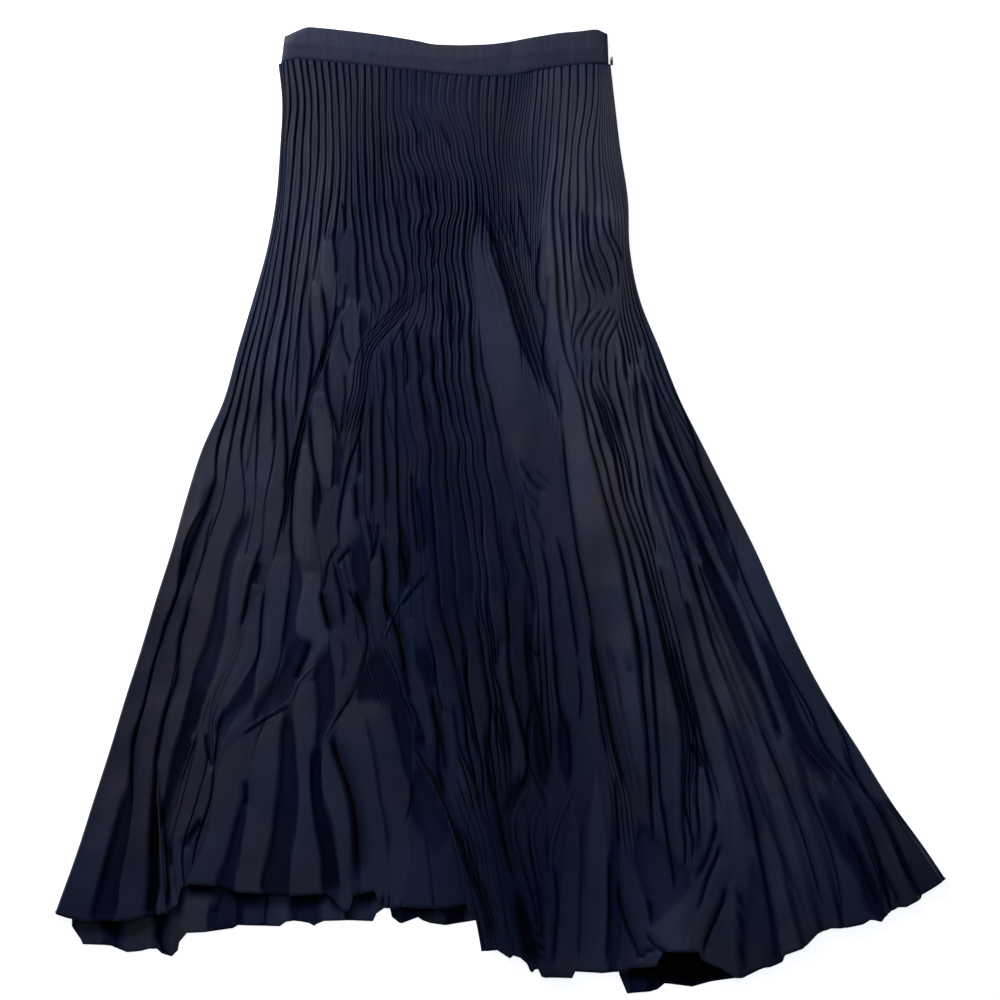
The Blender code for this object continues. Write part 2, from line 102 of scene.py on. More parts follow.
FOLD_LINES = {
    # fold: 140   190   240   290   340   390   440   490   540   590   640   690   740   790   840
    0: (-223, -232, -246, -261, -275, -297, -313, -327, -343, -358, -374, -389, -405, -421, -439),
    1: (-220, -229, -241, -254, -266, -281, -285, -306, -323, -340, -353, -365, -366, -373, -382),
    2: (-218, -226, -236, -248, -258, -269, -276, -293, -307, -319, -330, -340, -343, -340, -338),
    3: (-216, -221, -230, -240, -249, -257, -253, -263, -271, -279, -295, -310, -324, -333, -329),
    4: (-209, -214, -221, -232, -238, -242, -243, -252, -262, -272, -289, -303, -317, -327, -321),
    5: (-199, -205, -212, -219, -225, -224, -233, -238, -250, -265, -285, -289, -302, -315, -313),
    6: (-191, -198, -206, -210, -215, -212, -214, -223, -234, -240, -254, -280, -288, -303, -310),
    7: (-185, -189, -197, -202, -208, -205, -207, -206, -209, -216, -228, -242, -250, -257, -262),
    8: (-176, -180, -188, -185, -192, -201, -205, -202, -197, -200, -207, -202, -201, -206, -208),
    9: (-168, -175, -174, -176, -186, -186, -178, -172, -178, -169, -175, -179, -172, -161, -157),
    10: (-160, -164, -162, -169, -170, -163, -167, -167, -155, -155, -152, -159, -145, -144, -138),
    11: (-153, -152, -150, -148, -150, -154, -160, -156, -146, -137, -123, -130, -123, -114, -116),
    12: (-147, -142, -141, -136, -140, -148, -155, -150, -137, -128, -115, -124, -117, -108, -110),
    13: (-139, -134, -126, -132, -135, -140, -142, -133, -129, -122, -101, -88, -89, -97, -97),
    15: (-123, -118, -107, -127, -125, -128, -126, -122, -118, -114, -92, -80, -57, -44, -33),
    17: (-104, -96, -92, -117, -114, -102, -101, -99, -100, -95, -79, -70, -41, -25, -16),
    19: (-77, -80, -78, -95, -92, -83, -82, -78, -75, -67, -58, -42, -26, -15, -6),
    20: (-69, -73, -72, -81, -76, -70, -67, -63, -59, -48, -36, -30, -20, -10, 2),
    21: (-61, -67, -65, -67, -60, -54, -50, -46, -43, -34, -29, -20, -13, -5, 9),
    22: (-54, -60, -57, -56, -50, -41, -38, -28, -25, -17, -8, -9, 0, 7, 29),
    24: (-40, -47, -40, -40, -36, -27, -19, -15, -10, -5, 3, 4, 11, 19, 40),
    25: (-31, -35, -29, -28, -21, -14, -6, 1, 8, 10, 16, 19, 24, 32, 44),
    26: (-22, -26, -20, -18, -8, 3, 14, 24, 33, 33, 37, 28, 46, 49, 58),
    28: (-10, -6, 9, 22, 24, 27, 34, 41, 43, 46, 49, 52, 59, 66, 72),
    30: (-1, 1, 13, 26, 32, 36, 40, 50, 52, 54, 57, 70, 71, 82, 83),
    35: (19, 19, 25, 34, 46, 49, 52, 60, 71, 76, 83, 88, 89, 96, 109),
    39: (31, 31, 33, 40, 56, 59, 63, 70, 81, 87, 96, 102, 112, 116, 122),
    43: (44, 40, 39, 45, 61, 64, 70, 78, 89, 96, 107, 117, 130, 136, 141),
    44: (54, 56, 58, 65, 82, 92, 106, 120, 130, 138, 144, 148, 152, 155, 157),
    45: (61, 63, 68, 77, 88, 102, 115, 130, 142, 150, 155, 158, 162, 170, 176),
    46: (70, 71, 78, 84, 95, 112, 124, 141, 155, 166, 178, 184, 185, 186, 189),
    47: (79, 79, 89, 93, 103, 119, 129, 146, 159, 170, 183, 190, 190, 192, 197),
    48: (88, 86, 98, 104, 111, 126, 136, 151, 163, 175, 188, 198, 198, 203, 209),
    49: (96, 94, 108, 113, 122, 135, 144, 156, 168, 181, 194, 205, 215, 217, 221),
    50: (103, 104, 114, 122, 136, 148, 160, 173, 187, 201, 217, 234, 249, 260, 270),
    51: (109, 111, 119, 127, 143, 155, 175, 188, 201, 217, 238, 255, 268, 284, 295),
    52: (114, 116, 123, 131, 147, 160, 181, 195, 212, 235, 256, 275, 290, 304, 316),
    53: (117, 119, 126, 135, 151, 166, 188, 203, 227, 251, 273, 299, 313, 327, 338),
    54: (120, 123, 129, 141, 158, 178, 202, 221, 241, 265, 290, 315, 338, 361, 379),
    55: (123, 126, 133, 148, 165, 194, 214, 236, 256, 278, 302, 326, 355, 376, 389),
    56: (125, 128, 136, 153, 172, 199, 221, 245, 266, 288, 321, 347, 377, 401, 424),
    57: (127, 129, 139, 159, 179, 204, 229, 254, 276, 299, 326, 358, 389, 425, 458),
}

# Returns that open wide: fold, DOWN where it starts and is full and ends, width when full
TO_HEM = 1200               # an end beyond the hem: the return stays open
WIDEST_RETURN = 0.7         # of a pleat's width
BROAD_RETURNS = (
    # fold, start, full, end, width
    (1, 400, 470, 560, 12),
    (1, 720, 830, TO_HEM, 21),
    (2, 680, 800, TO_HEM, 9),
    (3, 430, 620, 780, 19),
    (5, 490, 520, 600, 9),
    (6, 590, 640, 720, 14),
    (7, 700, 820, TO_HEM, 18),
    (8, 480, 760, TO_HEM, 24),
    (9, 410, 470, 540, 11),
    (9, 590, 640, 700, 19),
    (9, 690, 790, TO_HEM, 17),
    (10, 350, 400, 480, 7),
    (10, 660, 740, TO_HEM, 9),
    (13, 640, 700, 780, 13),
    (26, 480, 560, 800, 9),
    (30, 640, 700, 800, 9),
    (43, 580, 640, 720, 5),
    (53, 380, 540, 640, 15),
    (54, 360, 450, 560, 9),
    (54, 740, 810, 900, 11),
)

# The fold that lies over its neighbours: the panel steps up along it
LAPPED_FOLD = 43
LAP_RISE = 3.0              # height of the step
LAP_PLEATS = 5              # pleats over which the step dies away
LAP_DOWN = (120, 200, 700, 800)     # where the step starts, is full, starts to fade and ends

# Soft swells of the front panel: middle ACROSS and DOWN, reach each way, and height
SWELLS = (
    # across, down, reach across, reach down, height
    (-385, 840, 60, 220, 5.0),
    (-270, 700, 50, 190, 4.0),
    (-225, 850, 60, 140, 4.5),
    (-180, 250, 45, 150, 2.5),
    (-120, 700, 55, 160, 5.0),
    (-65, 850, 60, 130, 6.0),
    (10, 330, 60, 200, 3.0),
    (45, 880, 60, 260, 5.0),
    (90, 420, 60, 260, 3.5),
    (150, 640, 70, 240, 5.0),
    (270, 560, 70, 240, 3.5),
    (320, 800, 90, 170, 5.0),
)

# The lifted stretch of the front hem, open like the mouth of a tunnel
TUNNEL_ACROSS = 181
TUNNEL_DOWN = 905
TUNNEL_HALF_WIDTH = 58
TUNNEL_LENGTH = 190         # from its mouth to where it lies flat again
TUNNEL_HEIGHT = 22.0

# Hems: ACROSS and DOWN of the points where each one turns
FRONT_HEM = (
    (-442.5, 852.5), (-430, 856.5), (-408, 860), (-372, 859), (-355, 855), (-338, 853), (-331, 852),
    (-329, 848), (-322, 846), (-318, 828), (-309, 823.5), (-285, 825), (-278, 826), (-262, 831), (-239, 832),
    (-210, 834.5), (-173, 833), (-165, 840), (-157, 850), (-150, 850), (-146, 835), (-125, 830), (-119, 846),
    (-106, 848), (-98, 845), (-80, 846.5), (-50, 846), (-34, 843), (-27, 855), (-21, 862), (-19, 890),
    (-13, 890), (-3, 889), (10, 897), (13, 894), (20, 896), (27, 902), (31, 912), (37, 905), (42, 916),
    (50, 915.5), (72, 916.5), (75, 910), (102, 912), (119, 910.5), (124, 912), (130, 907), (155, 903),
    (163, 888), (197, 888), (201, 897), (220, 906), (235, 917), (242, 917), (262, 907), (270, 906),
    (282, 901), (284, 894), (303, 887), (317, 872), (330, 867), (342, 867), (362, 863), (370, 858),
    (381, 861), (388, 852), (397, 846), (405, 846), (420, 838), (422, 833), (432, 827), (444, 819),
)
BACK_HEM = (
    (-430, 862), (-427, 868), (-420, 874), (-418, 884), (-390, 885), (-373, 892), (-360, 891), (-345, 887),
    (-338, 893), (-329, 897), (-322, 890), (-319, 873), (-295, 872), (-267, 868), (-262, 865), (-220, 866),
    (-212, 860), (-193, 862), (-185, 866), (-182, 861), (-150, 860), (-127, 861), (-121, 848), (-110, 848),
    (-107, 862), (-98, 863), (-82, 857), (-75, 862), (-55, 865), (-24, 860), (-15, 875), (20, 880), (60, 895),
    (118, 905), (122, 934), (130, 933), (155, 931), (165, 923), (192, 926.5), (212, 921), (242, 917),
    (250, 905), (300, 876), (350, 852), (400, 833), (432, 812),
)
BACK_LEFT_CORNER = -428     # ACROSS of the back hem's ends
BACK_RIGHT_CORNER = 436
BACK_SIDE_INSET = 1.5       # the back's sides hide under the front's

# Waistband: ACROSS and DOWN of its top edge and of the seam below it
BAND_TOP = (
    (-217, -22), (-214, -25), (-206, -27.5), (-197, -31.5), (-192, -32.5), (-170, -30.5), (-130, -26),
    (-100, -21.5), (-80, -18), (-68, -15), (-40, -14), (-10, -15), (10, -17.5), (30, -21.5), (60, -26.5),
    (80, -28), (97, -30.3), (103, -29), (107.5, -24),
)
WAIST_SEAM = (
    (-221, 5), (-213, 2), (-203, 0), (-190, 1), (-150, 4.5), (-110, 9), (-80, 12), (-50, 15.5), (-20, 17.5),
    (7, 17), (40, 10.5), (60, 7.5), (80, 5.5), (100, 4), (109, 5),
)
BAND_LEFT = -218.5          # ACROSS of its ends
BAND_RIGHT = 108.5
BAND_LEAN = (3.5, -1.2, 30)     # of its left and right end at the top, and how far in that dies away

# ---------------------------------------------------------------- the front panel's fine form

# How close together the rows lie: DOWN, density
ROW_DENSITY = (
    (0, 0.8), (90, 1.0), (150, 1.3), (380, 1.3), (450, 0.9), (540, 1.3), (700, 1.3), (760, 0.8), (900, 0.8),
)
DENSITY_LENGTH = 860        # that the rows share out, and the steps in which it is added up
DENSITY_STEPS = 400
FACE_CROWDING = 1.35        # how much closer a face's points lie beside its valley
CREST_CROWDING = 0.12       # and beside its crest
RETURN_CROWDING = 1.15      # the same for a return's points, beside the crest

# The front's cloth is five meshes that meet in the valleys of four pleats: first fold, last fold,
# points across a pleat's face and down its return, rows from waist to hem
FRONT_PARTS = {
    # name: first, last, face points, return points, rows
    "front_cloth_side_left": (0, 9, 25, 8, 330),
    "front_cloth_left": (9, 19, 22, 8, 330),
    "front_cloth_middle": (19, 38, 10, 6, 322),
    "front_cloth_right": (38, 48, 13, 7, 336),
    "front_cloth_side_right": (48, 57, 13, 8, 336),
}

# How a pleat's measures wander down the skirt
WANDERS = {
    # what: mean, spread, seed, length of a wave
    "width_long": (1, 0.25, 0, 110),
    "width_short": (0, 0.35, 0.7, 34),
    "half_open": (0.7, 0.6, 0.15, 150),
    "rise_long": (1, 0.35, 0.5, 120),
    "rise_short": (0, 0.3, 0.6, 37),
    "second_place": (0, 0.1, 0.3, 70),
    "gaping": (0.82, 0.75, 0.9, 75),
    "face_tone": (0.5, 0.5, 0.4, 160),
    "lean": (0, 0.09, 0.25, 90),
    "back_side": (0, 0.5, 0, 90),
    "back_rise": (0.65, 0.35, 0.4, 140),
    "back_light": (0.8, 0.6, 0.4, 140),
}

# Widths and heights of the front's pleats
SLIT_SHARE = 0.24           # of a pleat's width, where no broad return is stated
SLIT_MOST = 2.4             # widest slit that isn't a broad return
RISE_SHARE = 0.42           # of a pleat's width
RISE_LEAST = 1.2
RISE_MOST = 4.2
BROAD_RISE = 0.32           # of a broad return's width
SOFTNESS = 6                # how soon a half open return turns into a soft slope
SLIT_WIDEST = 2.5           # width at which a return starts to look broad
BROAD_SPAN = 3.0            # and how much wider it is once it does

# Profile of a face, as shares of the rise
WALL_SHARE = 0.90           # on the steep side next to a valley
WALL_REACH = 0.38           # how fast that side rises
WALL_MOST = 0.11            # most that its reach takes of a face's width
CREST_WIDTH = 0.8           # of the rounding at the crest
CREST_SHARE = 0.2           # most that it takes of a face's width
CREST_DROP = 0.07
SECOND_WIDTH = 0.16         # of a second crease, as a share of the face
SECOND_DEPTH = 0.38

# Profile of a return, as shares of the rise
RETURN_TOP = 0.93           # at the crest
SLIT_SAG = 0.25             # how hollow a slit's side is
CLIFF = 1.5                 # width of the steep start of a broad return
CLIFF_LIMITS = (0.02, 0.6)  # least and most that it takes of the return's width
CLIFF_DROP = 0.52           # how far it drops
SLOPE_POWER = 0.8           # how hollow the slope beyond it is

# Painted shade and light: shares of open sky on the pleats, which set the cloth's colour and gloss
VALLEY_SHADE = 0.45         # how far from its valley a face gets its light
FACE_START = 0.72           # beside the valley's shade
FACE_MORE = 0.28            # that the rest of a face has more
SECOND_SHADE = 0.92         # that a second crease takes
RETURN_SKY = 0.05           # of a broad return at its top
RETURN_SKY_MORE = 0.22      # and how much more at its bottom
SOFT_SKY = 0.25             # more at the top of a soft slope
CREST_SKY = 0.45            # just past the crest
LEAST_GAPING = 0.25         # of the dark of a slit, where it gapes least
LEAST_SKY = 0.045           # in the pleats' own slits
AIRY_MORE = 0.42            # more where the faces catch the most light
FACE_SPREAD = 0.50          # how much darker the darkest face is than the lightest

# Where the rows follow the outlines and where the sides lie still, as shares of the way down
HEM_SETTLES = (0.93, 0.07)  # where the rows start to take on the hem's shape, and over how much they do
WAIST_SETTLES = 0.05
HEM_STILL = 0.06            # from the hem, where the side waves die away
EDGE_STILL = 0.02           # of a pleat, beside a side fold
STILL_PLEATS = 2            # over which the side waves grow to their full size

# Patches, strips and zones
PLEAT_MEAN = 2.0            # height of the pleats' mean above their valleys
DOME_REACH = 5              # how far inside its edge a patch is fully domed
DOME_SHARE = 0.3            # of its height
ZONE_KEEP = 0.28            # share of the even pleats that shows through a zone of crumples
BARE_KEEP = 0.015           # and through a zone that lies smooth
# A trough's painted shade, darker at its rim than in its middle
RIM_SKY = 0.35              # of a trough's open sky, at its rim and in its middle
MIDDLE_SKY = 1.5
ZONE_FADE = 15              # how far the ends of a zone fade out, up and down the skirt
TROUGH_FADE = 6             # the same for a trough, and for a face
FACE_FADE = 2.5
STRIP_END = 0.04            # share of the half wave that a strip's taper leaves off at each end

# Creases, slits and ribbons; widths are in half widths of the line, heights in its own height
# Shade painted into each kind's groove and beside it on its shaded side; a ribbon's foot is painted into
# shade
DARKNESS = {"gash": 1.0, "slit": 0.95, "crease": 0.45}
STROKE_REACH = 5            # beyond which a line changes nothing
TAPER = 0.17                # share of a line over which each end tapers
TAPER_START = 0.06          # how open it is at its very end
TAIL_REACH = (4.5, 2.0)     # of the soft dip beside a crease, on its shaded and its lit side
INNER_SHARE = 0.72          # of a crease's depth, in its groove
TAIL_SHARE = 0.28           # and in the soft dip
TAIL_SHADE = 0.4
RIDGE_PLACE = 1.9           # of the low ridge on the lit side
RIDGE_WIDTH = 1.2
RIDGE_SHARE = 0.12
FOOT_PLACE = 1.5            # of the dark foot on both sides of a ribbon
FOOT_WIDTH = 0.7
FOOT_SINK = 0.5
FOOT_SHADE = 0.6
BUNDLE_UNEVEN = 0.3         # how much lower every second line of a bundle is

# Even waves of all the fold lines: how far, length down, lag across, DOWN where they reach full size
EVEN_WAVE = (0.45, 17, 31, 60)
WAVE_LAG = 40               # how far ACROSS the stated waves lag by one radian

# Where the slits are closed or faint: ACROSS, DOWN, reach each way, share of the rise and of the painted
# shade that stays
FAINT = (
    # across, down, reach across, reach down, share
    (-75, 45, 58, 55, 0.30),
    (-20, 60, 60, 50, 0.55),
    (-210, 260, 40, 170, 0.60),
    (-240, 400, 40, 60, 0.60),
    (72, 70, 50, 110, 0.25),
    (112, 90, 20, 120, 0.12),
    (62, 260, 22, 150, 0.35),
    (92, 165, 40, 55, 0.25),
    (36, 370, 26, 100, 0.35),
    (240, 680, 60, 120, 0.55),
    (280, 800, 90, 90, 0.55),
)

# Where the faces get more painted light: most where the share is 0, none where it is 1
AIRY = (
    # across, down, reach across, reach down, share
    (62, 300, 30, 150, 0.10),
    (85, 430, 34, 120, 0.15),
    (155, 390, 50, 120, 0.05),
    (85, 60, 50, 100, 0.85),
    (-195, 90, 40, 140, 0.50),
    (-240, 460, 70, 80, 0.45),
    (-165, 330, 40, 160, 0.45),
    (245, 620, 80, 140, 0.06),
    (125, 590, 40, 150, 0.30),
    (-40, 280, 50, 90, 0.70),
    (70, 860, 50, 90, 0.50),
    (15, 250, 30, 100, 0.55),
    (-350, 700, 60, 190, 0.60),
    (200, 790, 70, 120, 0.45),
    (-25, 500, 40, 110, 0.35),
    (-15, 650, 45, 110, 0.35),
)

# Where the pleats lie half open, with a soft slope in place of a slit: share of the width that it adds
HALF_OPEN = (
    # across, down, reach across, reach down, share
    (155, 390, 40, 110, 0.34),
    (235, 560, 80, 150, 0.26),
    (300, 760, 110, 140, 0.32),
)

# Where a fine second crease runs down the middle of each face: its strength
MID_CREASES = (
    # across, down, reach across, reach down, strength
    (-55, 80, 95, 85, 1.0),
    (-25, 180, 60, 90, 0.8),
    (-60, 330, 60, 140, 0.7),
    (60, 100, 60, 90, 0.6),
    (-195, 220, 45, 160, 0.45),
    (290, 640, 130, 220, 0.5),
)

# Where the fold lines wave side to side: how far, and how long a wave is
WAVES = (
    # across, down, reach across, reach down, most, length
    (-82, 85, 24, 55, 1.9, 44),
    (-70, 170, 36, 60, 1.3, 34),
    (-40, 120, 40, 50, 0.9, 52),
    (-60, 330, 70, 120, 0.8, 46),
    (-30, 560, 60, 160, 1.4, 70),
    (110, 300, 30, 90, 1.3, 60),
    (20, 700, 60, 130, 1.6, 84),
)

# Painted tint of the light: positive is a browner grey where warm light is painted, negative a bluer one
# where cool shade is painted
PAINTED_WARMTH = (
    # across, down, reach across, reach down, shift
    (-360, 620, 90, 200, 0.55),
    (-300, 480, 60, 90, 0.25),
    (-200, 90, 45, 130, 0.20),
    (105, 260, 32, 130, 0.60),
    (120, 130, 40, 60, 0.20),
    (-205, 480, 25, 70, 0.30),
    (-120, 760, 70, 110, -0.55),
    (50, 330, 45, 110, -0.20),
    (60, 60, 70, 70, -0.30),
    (100, 840, 80, 90, -0.40),
    (-60, 430, 80, 200, -0.30),
    (250, 760, 110, 120, -0.35),
    (-220, 260, 30, 110, -0.15),
    (110, 560, 30, 130, 0.25),
    (-170, 330, 30, 120, 0.25),
    (250, 600, 70, 120, -0.15),
    (300, 740, 90, 110, -0.15),
    (170, 700, 40, 120, -0.10),
)

# Edges: how far each row drops, how far it lies inside the hem, its share of open sky, painted shade under
# the turned edge
HEM_TURN = (
    # drop, inset, share
    (0.3, -0.1, 0.6),
    (0.45, 0.5, 0.0),
    (0.5, 2.0, 0.0),
)
# Round the side folds: how far out, share of the height above the back, open sky, painted darker towards the
# back
SIDE_TURN = (
    # out, share, sky
    (0.7, 0.85, 0.8),
    (0.9, 0.5, 0.5),
    (0.5, 0.15, 0.3),
    (-1.5, 0.0, 0.2),
)

# The back: flats that rest on the surface, and a groove between each two, with painted shade in the grooves
BACK_LEVEL = 0.9            # of the flats, at the middle of the cloth
BACK_RISE = 1.3             # of a groove
BACK_LEAST = 0.6            # lowest point of a dent in its hem
BACK_SKY = 0.55             # painted shade over the back, the inside of the skirt, which lies below the front
BACK_RISE_SHARE = 0.22      # of a pleat's width
BACK_FINE_FROM = 0.86       # share of the way down from which the rows lie closer
BACK_ROWS_ABOVE = 28
BACK_ROWS_BELOW = 46
BACK_HEM_SETTLES = (0.9, 0.1)   # as HEM_SETTLES
BACK_FREE = 2               # how soon below the waist the fold lines wander
BACK_PROFILE = (
    # share of a pleat, share of the rise, share of open sky
    (0.0, 0.05, 0.9),
    (0.10, 0.0, 1.0),
    (0.60, 0.0, 1.0),
    (0.72, 0.25, 1.0),
    (0.83, 1.0, 0.8),
    (0.88, 0.8, 0.2),
    (0.95, 0.2, 0.3),
)

# The waistband: from its seam over its outside, round its top edge and down its inside
BAND_COLUMNS = 180
BAND_HALVES = (
    # node, height of its underside, swell
    ("waistband_front", 3.9, 1.0),
    ("waistband_back", 0.4, 0.4),
)
BAND_THICKNESS = 2.2
BAND_LEAST = 0.45           # share of the thickness at its edges
BAND_FULLNESS = 0.55        # and how much more in its middle
BAND_SWELL_SHARE = 0.8      # of the swell, in its middle
BAND_INSIDE = 0.15          # height of its inside above the underside
BAND_SMOOTH = 3             # columns on each side that round off the top edge
BAND_END_LEFT = 3.5         # how far its ends are rounded off
BAND_END_RIGHT = 2.2
BAND_DENT = (12, 16, 0.8)   # ACROSS of the soft dent, its reach and its depth
BAND_RIDGE_RISE = 0.6       # of the soft ridge over the seam allowance
BAND_RIDGE_WIDTH = 3.2
# ACROSS and DOWN of that ridge
BAND_RIDGE = ((-210, -16), (-180, -15), (-145, -10), (-80, -3), (-40, 1), (10, -5), (60, -8), (105, -11))
# The band's profile, with painted shade at its seam and on its inside
BAND_PROFILE = (
    # share of the way from seam to top, rise (below 0 on the inside), open sky
    (-0.02, 0.0, 0.0),
    (0.0, 0.25, 0.25),
    (0.03, 0.55, 0.8),
    (0.08, 0.72, 1.0),
    (0.16, 0.85, 1.0),
    (0.26, 0.92, 1.0),
    (0.36, 0.97, 1.0),
    (0.46, 1.0, 1.0),
    (0.56, 1.0, 1.0),
    (0.66, 0.97, 1.0),
    (0.76, 0.9, 1.0),
    (0.85, 0.8, 1.0),
    (0.92, 0.65, 1.0),
    (0.965, 0.45, 0.9),
    (0.99, 0.2, 0.8),
    (1.0, 0.0, 0.6),
    (0.985, -1.0, 0.3),
    (0.9, -1.0, 0.1),
    (0.5, -1.0, 0.1),
    (0.05, -1.0, 0.1),
)

# How the faces lean, as slopes: positive towards the light, negative away from it
LEAN = (
    # across, down, reach across, reach down, slope
    (-235, 200, 80, 300, 0.12),
    (-180, 380, 60, 200, 0.12),
    (-75, 90, 90, 150, -0.22),
    (-60, 330, 70, 170, -0.20),
    (-30, 520, 80, 150, -0.30),
    (-25, 300, 35, 100, 0.15),
    (60, 280, 30, 260, 0.30),
    (110, 130, 50, 130, 0.22),
    (165, 400, 80, 230, 0.31),
    (-270, 470, 60, 80, 0.14),
    (200, 640, 80, 150, 0.12),
    (10, 700, 110, 180, -0.26),
    (130, 620, 30, 190, 0.18),
    (160, 820, 90, 120, -0.20),
    (-330, 830, 90, 110, -0.06),
    (245, 560, 80, 130, 0.10),
)

# Folds that leave the pleats' own rows are measured on a board: millimetres from its left and top
# edges, with the middle of the waist BOARD_ACROSS and the waist line BOARD_DOWN from them.
BOARD_ACROSS = 500
BOARD_DOWN = 60
